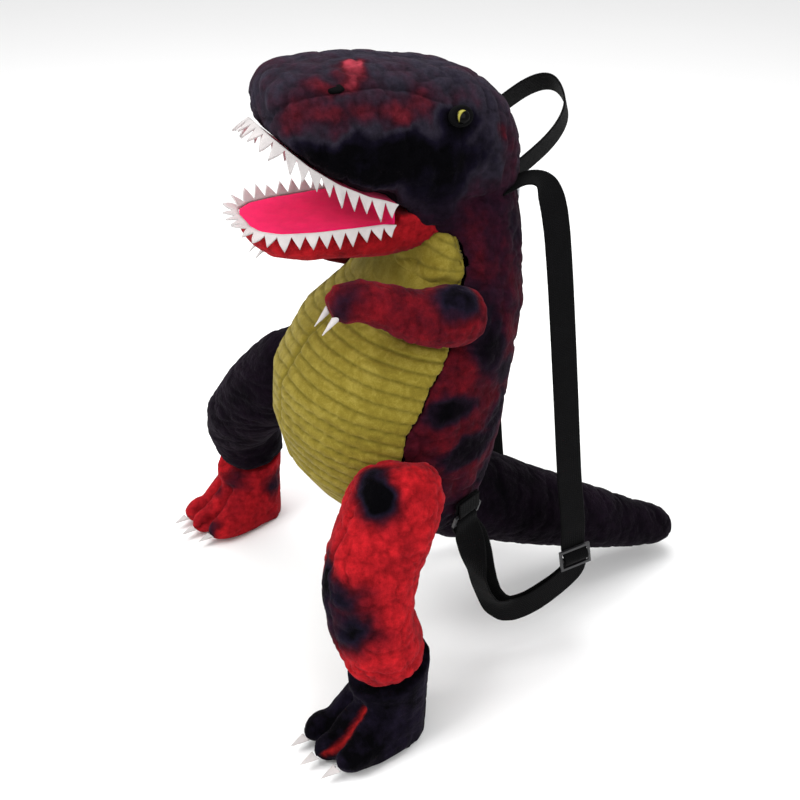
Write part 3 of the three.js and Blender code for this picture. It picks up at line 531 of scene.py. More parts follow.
plush = {
    "body": dyed_plush("plush_body", DARK, 0.56, 0.24, [
        # head: a lighter, redder streak over the snout's top (partly dye, partly painted light from above),
        # rosy cheeks, a black lower cheek (partly dye, partly painted shade under the head), purple back
        ((30, -64, 550), (24, 17, 18), -0.46), ((44, -84, 541), (10, 26, 8), -0.24),
        ((0, 0, 548), (60, 90, 20), 0.06), ((48, -112, 518), (22, 34, 26), -0.24),
        ((56, -66, 514), (16, 40, 20), -0.2), ((60, -26, 520), (14, 24, 16), -0.24),
        ((57, 55, 500), (8, 12, 12), -0.36), ((56, -75, 486), (34, 66, 28), 0.5),
        ((60, -5, 476), (34, 56, 30), 0.42), ((-40, -60, 525), (25, 40, 25), -0.22),
        ((66, 14, 512), (16, 20, 16), 0.34),
        # neck and bag
        ((60, 40, 405), (40, 40, 50), -0.06), ((100, 10, 290), (60, 120, 130), -0.3),
        ((112, 2, 366), (44, 46, 28), 0.62), ((112, -12, 284), (30, 30, 17), 0.72),
        ((101, 30, 327), (16, 24, 26), 0.6), ((92, 52, 296), (20, 26, 16), 0.55),
        ((100, 10, 238), (36, 40, 13), 0.66), ((96, 44, 262), (20, 24, 20), 0.55),
        ((88, 30, 205), (30, 26, 12), 0.4), ((88, 2, 152), (60, 70, 22), 0.2),
        ((-100, 20, 300), (50, 90, 90), -0.2), ((-100, 10, 250), (30, 40, 20), 0.5),
        ((-100, 30, 340), (30, 40, 16), 0.4), ((0, 95, 260), (60, 40, 60), -0.2),
        # (22, -60, 552) adds to the snout's streak: partly dye, partly painted light from above
        ((40, 90, 350), (34, 34, 40), -0.15), ((22, -60, 552), (13, 14, 10), -0.45),
    ], seed=0.0, upper=(HEAD_DYE_AND_TOP_LIGHT, 0.435, 0.47)),
    "left_leg": dyed_plush("plush_left_leg", RED_TO_BLACK, 0.08, 0.14, [
        ((142, -96, 244), (34, 30, 26), 1.0), ((160, -134, 170), (36, 26, 16), 0.42),
        ((154, -136, 134), (46, 36, 40), 0.66), ((174, -118, 130), (28, 28, 24), 0.24),
        ((134, -132, 170), (14, 26, 40), 0.5), ((128, -90, 120), (26, 40, 60), 0.35),
    ], seed=0.8),
    "right_leg": dyed_plush("plush_right_leg", DARK, 0.86, 0.12, [
        ((-118, -85, 268), (40, 45, 18), -0.35), ((-205, -120, 190), (30, 30, 30), -0.1),
    ], seed=1.2),
    "left_foot": dyed_plush("plush_left_foot", RED_TO_BLACK, 0.96, 0.06, [
        ((178, -52, 62), (24, 18, 22), -0.3),
    ], seed=1.7, crease_shade_and_stripe_weight=0.9, crease_shade_and_stripe_colour=(0.32, 0.012, 0.012)),
    "right_foot": dyed_plush("plush_right_foot", RED_TO_BLACK, 0.16, 0.26, [
        ((-214, -116, 58), (20, 26, 14), 0.36), ((-196, -158, 18), (12, 22, 20), 0.5),
        ((-200, -66, 44), (20, 20, 26), 0.7), ((-228, -140, 40), (10, 18, 12), 0.4),
    ], seed=2.4),
    "arm": dyed_plush("plush_arm", RED_TO_BLACK, 0.44, 0.2, [
        ((102, -100, 390), (20, 20, 22), 0.3), ((112, -6, 384), (28, 22, 24), 0.5),
        ((-102, -100, 390), (20, 20, 22), 0.3), ((-112, -6, 384), (28, 22, 24), 0.5),
    ], seed=2.9),
    "jaw": dyed_plush("plush_jaw", RED_TO_BLACK, 0.16, 0.14, [
        # the blobs darken the jaw's far side and its underside
        ((-40, -100, 420), (34, 80, 30), 0.6), ((-10, -40, 392), (40, 60, 10), 0.7),
    ], seed=3.3),
    "tail": dyed_plush("plush_tail", DARK, 0.88, 0.14, [
        ((10, 190, 80), (30, 34, 30), -0.14), ((20, 45, 110), (50, 30, 30), -0.25),
    ], seed=3.9),
}
pink = felt("felt_pink", (0.68, 0.008, 0.096), sheen=0.04)
white = felt("felt_white", (0.50, 0.47, 0.465), sheen=0.02)
black_felt = felt("felt_black", (0.0015, 0.0015, 0.0018), sheen=0.0)
olive = ribbed_plush("plush_olive")
web = webbing_cloth("webbing")
plastic = moulded("plastic", (0.012, 0.012, 0.014), 0.38)
steel = moulded("steel", (0.42, 0.43, 0.45), 0.34, 1.0)


def rumple(piece, broad=1.4, fine=0.5, seed=0, sizes=(0.045, 0.016)):
    co = coords(piece)
    lift = broad * cloud(co, sizes[0], seed) + fine * cloud(co, sizes[1], seed + 5)
    set_coords(piece, co + (MM * lift)[:, None] * normals(piece))


def folds(piece, size, amount, seed, where=None, shade=0.4):
    """Narrow creases: the valley lines of a stretched noise."""
    co = coords(piece)
    valley = 1 - np.abs(cloud(co, np.asarray(size), seed, 2)) * 3.2
    depth = amount * np.clip(valley, 0, 1) ** 2
    if where is not None:
        depth = depth * where(co - HOME)
    set_coords(piece, co - (MM * depth)[:, None] * normals(piece))
    mark(piece, shade * depth / amount)


def emboss(piece, size, depth, seed, cover=0.0):
    """Pillowed scales with soft borders between them; the borders are kept in the groove attribute, where the
    plush is darkened as painted shade.
    """
    co = coords(piece)
    border = cells(co + 0.006 * np.stack([cloud(co, 0.03, seed + k) for k in range(3)], axis=1), size, seed)
    line = np.exp(-((border / 0.11) ** 2)) * ramp(cloud(co, 0.06, seed + 9) + cover, -0.5, 0.25)
    set_coords(piece, co + (MM * depth * (0.45 * ramp(border, 0, 0.5) - line))[:, None] * normals(piece))
    mark(piece, 0.6 * line)


# keeps the greater value in the groove attribute, which the materials read to paint shade into creases
def mark(piece, value):
    layer = piece.data.attributes.get("groove")
    held = np.zeros(len(piece.data.vertices), dtype=np.float32)
    if layer:
        layer.data.foreach_get("value", held)
    else:
        layer = piece.data.attributes.new("groove", "FLOAT", "POINT")
    layer.data.foreach_set("value", np.maximum(held, value).astype(np.float32))


THIRDS = (0.0, 0.34, 0.67)
PUCKER_PITCH = 0.0035


def seam(piece, line, depth=2.0, width=3.0, pucker=0.5, shade=0.9):
    """Sewn groove with small puckers, along a line in mm that is snapped to the nearest points."""
    co = coords(piece)
    tree = KDTree(len(co))
    for k, spot in enumerate(co):
        tree.insert(spot, k)
    tree.balance()

    def snapped(spot):
        return np.array(tree.find(place(*spot))[0])

    points = []
    for a, b in zip(line[:-1], line[1:]):
        points += [snapped(np.array(a) * (1 - t) + np.array(b) * t) for t in THIRDS]
    points.append(snapped(line[-1]))
    points = [p for k, p in enumerate(points) if k == 0 or np.linalg.norm(p - points[k - 1]) > 1e-6]
    d, along = line_distance(co, points)
    groove = np.exp(-((d / (width * MM)) ** 2))
    side = np.exp(-((d / (2.6 * width * MM)) ** 2)) - groove
    lift = -depth * groove + pucker * side * np.sin(along / PUCKER_PITCH)
    set_coords(piece, co + (MM * lift)[:, None] * normals(piece))
    mark(piece, shade * groove**3)


def mirror_line(line):
    return [(-x, y, z) for x, y, z in line]


# Head and bag: the stuffed head runs into the neck, and the cheeks lap over the jaw's corners
CHEEK = (45, 4, 434)
CHEEK_RADII = (17, 40, 20)
CHEEK_COSINE, CHEEK_SINE = 0.81, 0.59
NECK_TOP = 438
CROWN_LIFT = 6
head = soft_copy("stuffed_head", ["head"], 0.005, 8)
puff(head, 3.0, 0.0025, 0.005)
parts = [head]
for sign in (1, -1):
    ball = bmesh.new()
    bmesh.ops.create_uvsphere(ball, u_segments=32, v_segments=20, radius=1.0)
    x, y, z = CHEEK
    rx, ry, rz = CHEEK_RADII
    for vert in ball.verts:
        a, b, c = vert.co
        vert.co = Vector(place(sign * x + rx * a,
                               y + ry * CHEEK_COSINE * b + rz * CHEEK_SINE * c,
                               z - ry * CHEEK_SINE * b + rz * CHEEK_COSINE * c))
    parts.append(link_built("cheek", ball))
body = soft_copy("body_plush", parts + ["body_shell"], 0.0029, 8)
for part in parts:
    bpy.data.objects.remove(part)
# the step between head and neck is evened out
x, y, z = local_mm(body).T
join = np.exp(-(((z - NECK_TOP) / 26) ** 2)) * ramp(y, -36, 0)
for _ in range(3):
    before = coords(body)
    relax(body, 10, 0.6)
    set_coords(body, before + join[:, None] * (coords(body) - before))
# the snout's top is stuffed fuller than its solid
x, y, z = local_mm(body).T
crown = ramp(z, 505, 540) * (1 - ramp(y, -60, 20)) * ramp(y, -150, -110)
set_coords(body, coords(body) + (MM * CROWN_LIFT * crown)[:, None] * np.array([0, 0, 1.0]))
rumple(body, 1.4, 0.5, 3)


def on_cheeks(p):
    return ramp(np.abs(p[:, 0]), 0.03, 0.05) * ramp(p[:, 2], 0.44, 0.47) * (1 - ramp(p[:, 2], 0.515, 0.53))


folds(body, (0.030, 0.012, 0.055), 2.4, 11, on_cheeks)
folds(body, (0.040, 0.040, 0.016), 2.6, 41, lambda p: 1 - ramp(p[:, 2], 0.43, 0.46))
emboss(body, 0.022, 1.3, 47, 0.15)
head_seam = [(6, -141, 508), (22, -137, 516), (30, -132, 521), (38, -120, 531), (45, -87, 538),
             (47, -48, 538), (51, -16, 532), (57, 5, 524)]
for line in (head_seam, mirror_line(head_seam)):
    seam(body, line, 3.0, 2.4, 0.7)
seam(body, [(0, -20, 552), (0, 30, 544), (0, 60, 527), (0, 82, 500), (0, 92, 470)], 1.6, 2.2)
for sign in (1, -1):
    seam(body, [(sign * 47, -14, 541), (sign * 40, 14, 545)], 1.6, 2.0, 0.3)
    seam(body, [(sign * 66, 12, 516), (sign * 62, 12, 528), (sign * 56, 10, 536)], 1.6, 2.2, 0.4)
finish_piece(body, ["head", "body_shell"], plush["body"])

jaw = soft_copy("jaw_plush", ["lower_jaw"], 0.003, 6)
rumple(jaw, 0.8, 0.3, 7)
folds(jaw, (0.02, 0.012, 0.03), 0.8, 31)
finish_piece(jaw, ["lower_jaw"], plush["jaw"])

# Belly: ribs run across it in shallow chevrons from the centre seam
RIB_PITCH = 10.6
WAIST = 282
belly = soft_copy("belly_plush", ["belly_panel"], 0.0021, 4)
co = coords(belly)
outwards = normals(belly)
x, y, z = local_mm(belly).T
middle_y = np.interp(z, [128, 200, 282, 340, 436], [4, -24, -20, 12, 40])
radial = np.stack([x, y - middle_y], axis=1)
radial /= np.linalg.norm(radial, axis=1)[:, None]
neck = 0.4 * ramp(z, 345, 365)
outer = ramp((outwards[:, :2] * radial).sum(axis=1) + neck, 0.15, 0.45)
turned = np.abs(np.arctan2(radial[:, 0], -radial[:, 1])) / math.radians(78)
# arc length down the front profile, and plain height at the side
levels = [128, 150, 172, 200, 240, 282, 320, 350, 385, 436]
front = np.cumsum([0, 38, 32, 34, 42, 43, 43, 43, 48, 58]).astype(float)
front -= front[levels.index(WAIST)]
arc = np.interp(z, levels, front)
share = np.clip(turned, 0, 1)
phase = (1 - 0.6 * share) * arc + 0.6 * share * (z - WAIST) + 24 * share**1.2
phase += 3.2 * (x > 0) + 2.2 * cloud(co, 0.06, 61)
gather = ramp(z, 358, 380)
phase += gather * 9 * cloud(co, 0.034, 63)
cell = np.abs((phase / RIB_PITCH) % 1 - 0.5)  # 0.5 on the groove
rib = 1 - np.exp(-(((0.5 - cell) / 0.10) ** 2))
centre = np.exp(-((x / 2.2) ** 2))
lift = 2.1 * (rib - 0.75) * (1 - 0.45 * gather) * (1 - centre) - 2.0 * centre
lift -= 8 * np.exp(-(((z - 378) / 26) ** 2)) * (1 - ramp(turned, 0.5, 0.95))
lift += 1.2 * cloud(co, 0.05, 67)
slanted = co @ np.array([[1.0, 0, 0.5], [0, 1.0, -0.4], [0, 0, 1.0]])
crumple = 1 - np.clip(np.abs(cloud(slanted, (0.034, 0.034, 0.012), 71)) * 2.6, 0, 1)
lift -= gather * 6.5 * crumple**1.5 - gather * 2.0
set_coords(belly, co + (MM * lift * outer)[:, None] * outwards)
# the grooves between ribs, the centre seam and the crumples of the gather are marked for painted shade in the
# olive plush
mark(belly, np.clip(np.maximum(1 - rib, centre) * outer + 0.6 * gather * crumple, 0, 1))
finish_piece(belly, ["belly_panel"], olive)

# Legs, feet, arms and tail
ANKLES = {"left": (146.7, -89.4, 14), "right": (-234.7, -95.9, 18)}  # x, y and the foot's turn in degrees
TOE_GROOVE = 12  # from the foot's middle line
for side, sign in (("left", 1), ("right", -1)):
    leg = soft_copy(f"{side}_leg_plush", [f"{side}_leg"], 0.005, 8)
    puff(leg, 3.0, 0.002, 0.0035)
    subdivide(leg)
    rumple(leg, 1.8, 0.6, 73 + sign)
    folds(leg, (0.05, 0.05, 0.012), 1.6, 79 + sign)
    emboss(leg, 0.019, 0.8, 83 + sign, 0.35 * sign)
    if sign > 0:
        seam(leg, [(132, -105, 232), (136, -125, 198), (134, -134, 174), (143, -139, 153), (148, -138, 125),
                   (157, -133, 104), (163, -124, 84)], 2.2, 2.0, 0.5)
    finish_piece(leg, [f"{side}_leg"], plush[f"{side}_leg"])

    ankle_x, ankle_y, turn = ANKLES[side]
    c, s = math.cos(math.radians(turn)), math.sin(math.radians(turn))
    foot = soft_copy(f"{side}_foot_plush", [f"{side}_foot"], 0.0022, 6)
    for shift in (-TOE_GROOVE, TOE_GROOVE):
        groove_line = [(shift, -76, 8), (shift, -66, 16), (shift, -56, 22), (shift, -46, 29),
                       (shift * 0.95, -36, 37), (shift * 0.85, -28, 44)]
        groove_line = [(ankle_x + c * x - s * y, ankle_y + s * x + c * y, z) for x, y, z in groove_line]
        marked = shift > 0 or side == "right"  # the left foot's inner groove stays black
        seam(foot, groove_line, 4.6, 3.6, 0.0, 0.85 if marked else 0.0)
    rumple(foot, 1.0, 0.5, 89 + sign)
    folds(foot, (0.03, 0.03, 0.012), 1.0, 91 + sign, shade=0)
    finish_piece(foot, [f"{side}_foot"], plush[f"{side}_foot"])

    arm = soft_copy(f"{side}_arm_plush", [f"{side}_arm"], 0.0026, 6)
    rumple(arm, 1.1, 0.5, 97 + sign, (0.03, 0.012))
    folds(arm, (0.03, 0.012, 0.03), 1.4, 101 + sign)
    finish_piece(arm, [f"{side}_arm"], plush["arm"])

tail = soft_copy("tail_plush", ["tail"], 0.005, 8)
puff(tail, 3.0, 0.002, 0.0035)
subdivide(tail)
rumple(tail, 1.5, 0.6, 107)
folds(tail, (0.03, 0.014, 0.03), 1.4, 109)
emboss(tail, 0.022, 0.6, 113)
finish_piece(tail, ["tail"], plush["tail"])

# Mouth
lining = soft_copy("mouth_felt", ["mouth_lining"], 0.0014, 3)
rumple(lining, 0.5, 0.1, 113, (0.03, 0.01))
finish_piece(lining, ["mouth_lining"], pink)


TOOTH_STEPS, TOOTH_ROWS = 8, 5


def toothed(name, path, pitch, length, band, lean, out_shift, seed):
    """Felt strip sewn along a lip and cut into points; lean turns a point from straight down outwards."""
    path = np.array(path)
    run = np.concatenate([[0], np.cumsum(np.linalg.norm(np.diff(path, axis=0), axis=1))])
    count = int(round(run[-1] / pitch))
    at = np.linspace(0, run[-1], count * TOOTH_STEPS + 1)
    p = np.stack([np.interp(at, run, path[:, k]) for k in range(3)], axis=1)
    for _ in range(4):
        p[1:-1] = 0.25 * p[:-2] + 0.5 * p[1:-1] + 0.25 * p[2:]
    way = np.gradient(p, axis=0)
    way /= np.linalg.norm(way, axis=1)[:, None]
    out = np.cross(way, (0, 0, 1.0))
    out[:, 2] = 0
    out /= np.linalg.norm(out, axis=1)[:, None]
    if out[len(at) // 2, 1] > 0:
        out = -out
    tooth = np.minimum(np.arange(len(at)) // TOOTH_STEPS, count - 1)

    def chances(row):
        cell = np.stack([np.arange(count), np.full(count, row), np.zeros(count)], axis=1)
        return lattice(cell.astype(np.int64), seed)[tooth]

    turn, size = chances(0), chances(1)
    share = (np.arange(len(at)) % TOOTH_STEPS) / TOOTH_STEPS
    tip = 1 - np.abs(2 * share - 1)  # 1 at a point, 0 between two
    angle = np.radians(lean(out) + 22 * (turn - 0.5) * tip)
    fall = np.cos(angle)[:, None] * np.array([0, 0, -1.0]) + np.sin(angle)[:, None] * out
    end = np.minimum(1, (0.35 + np.minimum(at, run[-1] - at) / 16))
    reach = tip * length * end * (0.86 + 0.3 * size)
    verts = []
    for r in range(TOOTH_ROWS + 1):
        t = r / TOOTH_ROWS
        along = reach * (r - 1) / (TOOTH_ROWS - 1) if r else -band * end
        spot = p + out_shift * out + along[:, None] * fall
        spot += (1.6 * (size - 0.5) * tip * t)[:, None] * way
        spot += (1.2 * tip * t * t * (turn - 0.3))[:, None] * out
        verts += [tuple(place(*v)) for v in spot]
    n = len(at)
    faces = [(r * n + k, r * n + k + 1, (r + 1) * n + k + 1, (r + 1) * n + k)
             for r in range(TOOTH_ROWS) for k in range(n - 1)]
    mesh = bpy.data.meshes.new(name)
    mesh.from_pydata(verts, [], faces)
    piece = link(name, mesh)
    thick = piece.modifiers.new("thick", "SOLIDIFY")
    thick.thickness = 0.0014
    thick.offset = 0.0
    apply_modifiers(piece)
    return piece


# Lines that the teeth are sewn along, from the corner of the mouth to its tip. Upper rows: shares of the
# head's length, of the half width between the lips and of the gape. Lower rows: shares of the jaw's
# length and half width
NECK_LEVEL, CLEARANCE = 436, 0.3
HEAD_LENGTH, HEAD_REACH, HALF_LIP = 226, 134, 60.3
MOUTH_LENGTH, MOUTH_GAPE, CORNER_RISE = 97, 72, 11
JAW_LENGTH, JAW_REACH, HALF_JAW, JAW_RIM = 111, 148, 54, 428
LIP_INSIDE, JAW_OUTSIDE, FELT_RISE = 1.3, 1.5, 1.3
UPPER_ROWS = [(MOUTH_LENGTH / HEAD_LENGTH, 0.97, CORNER_RISE / MOUTH_GAPE), (0.33, 0.93, 0.25),
              (0.22, 0.88, 0.42), (0.12, 0.81, 0.64), (0.05, 0.68, 0.84), (0.012, 0.47, 0.95), (0, 0.24, 1)]
LOWER_ROWS = [(0.985, 1.0), (0.66, 0.97), (0.38, 0.92), (0.16, 0.8), (0.05, 0.58), (0.015, 0.3)]
UPPER_LIP = [(half * HALF_LIP - LIP_INSIDE, along * HEAD_LENGTH - HEAD_REACH,
              NECK_LEVEL - CLEARANCE + gape * MOUTH_GAPE) for along, half, gape in UPPER_ROWS]
LOWER_LIP = [(half * HALF_JAW + JAW_OUTSIDE, along * JAW_LENGTH - JAW_REACH, JAW_RIM + FELT_RISE)
             for along, half in LOWER_ROWS]
UPPER_LIP += mirror_line(UPPER_LIP[::-1])
LOWER_LIP += mirror_line(LOWER_LIP[::-1])
upper = toothed("upper_teeth_felt", UPPER_LIP, 11.4, 14.5, 1.4,
                lambda out: 16 + 42 * np.clip(-out[:, 1], 0, 1) ** 1.5, 0.6, 3)
lower = toothed("lower_teeth_felt", LOWER_LIP, 10.6, 11.0, 2.4,
                lambda out: 90 - 62 * np.clip(out[:, 0], -1, 1), 1.6, 8)
finish_piece(upper, ["upper_teeth"], white)
finish_piece(lower, ["lower_teeth"], white)

# Claws
claws = [f"{s}_foot_claw_{i}" for s in ("left", "right") for i in (1, 2, 3)]
claws += [f"{s}_arm_{c}_claw" for s in ("left", "right") for c in ("inner", "outer")]
for name in claws:
    claw = soft_copy(f"{name}_felt", [name], 0.0007, 2)
    foot_claw = "foot" in name
    turn = math.radians(ANKLES[name.split("_")[0]][2]) if foot_claw else 0.0
    over = np.array([math.cos(turn), math.sin(turn), 0])
    co = coords(claw)
    off = co - co.mean(axis=0)
    co += (0.75 if foot_claw else 0.4) * (off @ over)[:, None] * over
    co[:, 2] -= (0.35 if foot_claw else 0.0) * off[:, 2]
    set_coords(claw, co)
    rumple(claw, 0.25, 0.08, 131, (0.006, 0.003))
    finish_piece(claw, [name], white)


# Webbing: the routes are the part's own, from the same sizes in mm. A stop is a place and the way that the
# strip's flat face looks.
WEBBING_WIDTH, WEBBING_THICKNESS = 25.0, 1.6
WEBBING_STEP = 2.2
ACROSS, UP = np.array([1.0, 0, 0]), np.array([0, 0, 1.0])
NAPE, BAG_BACK = 92, 84.18
FITTING_BAR, SLIDER_PITCH, RING_PITCH = 2.4, 10, 11
RING_LEAD, RING_SLACK = 7, 1
NEAR_BAR = FITTING_BAR / math.sqrt(2) + CLEARANCE + WEBBING_THICKNESS / 2
FAR_BAR = NEAR_BAR + WEBBING_THICKNESS + CLEARANCE


def curve_point(points, share):
    """Centripetal Catmull-Rom curve through points, at a share of its gaps."""
    last = len(points) - 1
    k = min(int(share * last), last - 1)
    t = share * last - k
    b, c = points[k], points[k + 1]
    a = points[k - 1] if k else 2 * b - c
    d = points[k + 2] if k + 2 <= last else 2 * c - b
    ab, bc, cd = (math.sqrt(np.linalg.norm(q - p)) for p, q in ((a, b), (b, c), (c, d)))
    start = bc * ((b - a) / ab - (c - a) / (ab + bc) + (c - b) / bc)
    end = bc * ((c - b) / bc - (d - b) / (bc + cd) + (d - c) / cd)
    return b + start * t + (3 * (c - b) - 2 * start - end) * t**2 + (2 * (b - c) + start + end) * t**3


def route(stops, per_gap=2, nudge=1e-4):
    """Rows of a centre and the way across the strip."""
    points = [at for at, _ in stops]
    count = per_gap * (len(stops) - 1)
    rows = []
    for k in range(count + 1):
        i = min(k // per_gap, len(stops) - 2)
        t = k / per_gap - i
        face = (1 - t) * stops[i][1] + t * stops[i + 1][1]
        share = k / count
        way = curve_point(points, min(share + nudge, 1)) - curve_point(points, max(share - nudge, 0))
        wide = np.cross(way, face)
        rows.append([*curve_point(points, share), *(wide / np.linalg.norm(wide))])
    return rows


class Fitting:
    """A fitting's own axes: s runs along the strap, n out of its face."""

    def __init__(self, origin, along, out):
        self.origin, self.along, self.out = origin, along, out

    def at(self, s, n):
        return self.origin + s * self.along + n * self.out

    def stops(self, rows, face=1):
        return [(self.at(s, n), face * self.out) for s, n in rows]

    def round_bar(self, s, first, last, count):
        """Stops on an arc round the bar at s, in degrees from the fitting's face."""
        arms = [math.sin(t) * self.along + math.cos(t) * self.out
                for t in np.radians(np.linspace(first, last, count + 1))]
        return [(self.at(s, 0) + NEAR_BAR * arm, arm) for arm in arms]


def handle_route(reach=58, span=50, tilt=36, rise=36, fullness=0.75, steps=10):
    """Arch of webbing behind the head, its left end sewn lower than its right one."""
    centre = np.array([0, NAPE - 2, NECK_LEVEL + rise])
    outward = np.array([0, 0.84, 0.54]) / math.hypot(0.84, 0.54)
    sideways = np.array([span / 2, 0, -tilt / 2])
    stops = []
    for turn in np.linspace(0, math.pi, steps + 1):
        out = outward * math.sin(turn) ** fullness
        shift = math.copysign(abs(math.cos(turn)) ** fullness, math.cos(turn))
        face = sideways / np.linalg.norm(sideways) * shift + out
        stops.append((centre + sideways * shift + out * reach, face))
    sewn = [(at - outward * reach / 3, face) for at, face in (stops[0], stops[-1])]
    return route([sewn[0], *stops, sewn[1]])


# Where the sewn tab leaves the bag's side, and the way down that side and out of it
ANCHOR = np.array([95.54, 7.63, 178.0])
DOWN_SIDE = np.array([-0.4068, 0, -0.9135])
OUT_SIDE = np.array([0.8371, 0.4003, -0.3728])
TAB_LENGTH = 16
RING_OUT = 2 * WEBBING_THICKNESS + NEAR_BAR
strap_ring = Fitting(ANCHOR + RING_OUT * OUT_SIDE, DOWN_SIDE, OUT_SIDE)


def tab_route():
    seat = WEBBING_THICKNESS - RING_OUT
    return route([
        *strap_ring.stops([(-TAB_LENGTH, seat), (-TAB_LENGTH / 2, seat), (-1.3 * NEAR_BAR, -NEAR_BAR)], -1),
        *strap_ring.round_bar(0, 180, 0, 4),
        *strap_ring.stops([(-1.8 * NEAR_BAR, 0.1 * NEAR_BAR),
                           (-TAB_LENGTH, seat + WEBBING_THICKNESS + CLEARANCE)]),
    ])


STRAP_INSET, STRAP_SEAT, STRAP_SPREAD, STRAP_STAND_OFF, STRAP_DROP = 44, 4, 42, 48, 356
# Upper strap: shares of the strap's drop, of its spread and of its stand-off, and how far the flat face has
# turned from the top to the side
STRAP_ROWS = [
    (0.0, -0.1, -0.5, 0.0), (-0.022, -0.04, -0.1, 0.0), (-0.025, 0.03, 0.15, 0.2), (0.0, 0.11, 0.36, 0.6),
    (0.06, 0.21, 0.48, 0.95), (0.17, 0.33, 0.56, 1.0), (0.31, 0.52, 0.6, 1.0), (0.45, 0.69, 0.64, 1.0),
    (0.59, 0.81, 0.7, 1.0), (0.76, 0.9, 0.8, 1.0), (0.9, 0.97, 0.92, 1.0),
]
# Lower loop: share of the way from the slider to the ring, share of the ring's height above the slider, room
# between the two layers, and twist of a quarter turn to the front
LOOP_ROWS = [
    (0.07, -0.26, 0.3, 0.0), (0.24, -0.34, 0.35, 0.0), (0.44, -0.41, 0.35, 0.0), (0.62, -0.38, 0.4, 0.25),
    (0.8, -0.14, 1.0, 0.85), (0.91, 0.22, 1.6, 1.0), (0.96, 0.6, 1.2, 0.4),
]
LOOP_ROOM, LOOP_SETTLE, LOOP_SPREAD, LOOP_CALM = 9, 0.3, 0.14, 0.4
FORWARD_FACE = np.array([0.25, -0.95, 0.2])


def strap_route():
    """From the neck through the slider, round the ring and back round the slider's middle bar."""
    neck = np.array([STRAP_INSET, BAG_BACK, NECK_LEVEL + STRAP_SEAT])
    foot = neck + np.array([STRAP_SPREAD, STRAP_STAND_OFF, -STRAP_DROP])
    slider = Fitting(foot, np.array([0, 0.15, -0.99]) / math.hypot(0.15, 0.99), ACROSS)
    upper = []
    for drop, out, bow, turned in STRAP_ROWS:
        face = (1 - turned) * UP + turned * ACROSS
        way = np.array([out * STRAP_SPREAD, bow * STRAP_STAND_OFF, -drop * STRAP_DROP])
        upper.append((neck + way, face / np.linalg.norm(face)))
    # behind the slider's first bar, over the middle one and behind the last
    entry = [(-1.45, -1.0), (-1.0, -1.0), (-0.81, -0.91), (-0.64, -0.3), (-0.46, 0.55)]
    entry = [(s * SLIDER_PITCH, n * NEAR_BAR) for s, n in entry]
    over = [(FAR_BAR * math.sin(t), FAR_BAR * math.cos(t)) for t in np.radians([-46, -23, 0, 23, 46])]
    weave = slider.stops(entry + over + [(-s, n) for s, n in reversed(entry)])

    # the loop's two layers lie face to face near the slider and part on the way to the ring
    def layer(inward):
        stops = []
        for along, high, apart, twist in LOOP_ROWS:
            at = (1 - along) * foot + along * strap_ring.at(RING_PITCH, 0)
            at[2] = foot[2] + high * (strap_ring.origin[2] - foot[2])
            parted = (0.5 - inward) * 2 * apart * (NEAR_BAR + CLEARANCE) - inward * NEAR_BAR
            settled = ramp(along, LOOP_ROWS[0][0], LOOP_SETTLE)
            room = inward * max(0, apart - 0.4) * LOOP_ROOM
            at += np.array([-NEAR_BAR * (1 + inward) * (1 - settled) + parted * settled, room,
                            room * LOOP_SPREAD])
            quarter = twist * (1 - LOOP_CALM * inward)
            face = (1 - quarter) * ACROSS + quarter * FORWARD_FACE
            stops.append((at, (-1 if inward else 1) * face / np.linalg.norm(face)))
        return stops

    ring_wrap = [
        *strap_ring.stops([(RING_PITCH + RING_LEAD, NEAR_BAR + RING_SLACK)]),
        *strap_ring.round_bar(RING_PITCH, 0, -180, 4),
        *strap_ring.stops([(RING_PITCH + RING_LEAD, -NEAR_BAR)], -1),
    ]
    bar_wrap = [(1.45 * SLIDER_PITCH, -2 * NEAR_BAR - 0.2), (SLIDER_PITCH, -2 * NEAR_BAR),
                (0.6 * SLIDER_PITCH, -1.6 * NEAR_BAR), (0.25 * SLIDER_PITCH, -1.06 * NEAR_BAR)]
    return route([*upper, *weave, *layer(0), *ring_wrap, *reversed(layer(1)), *slider.stops(bar_wrap, -1),
                  *slider.round_bar(0, 180, 444, 7)])


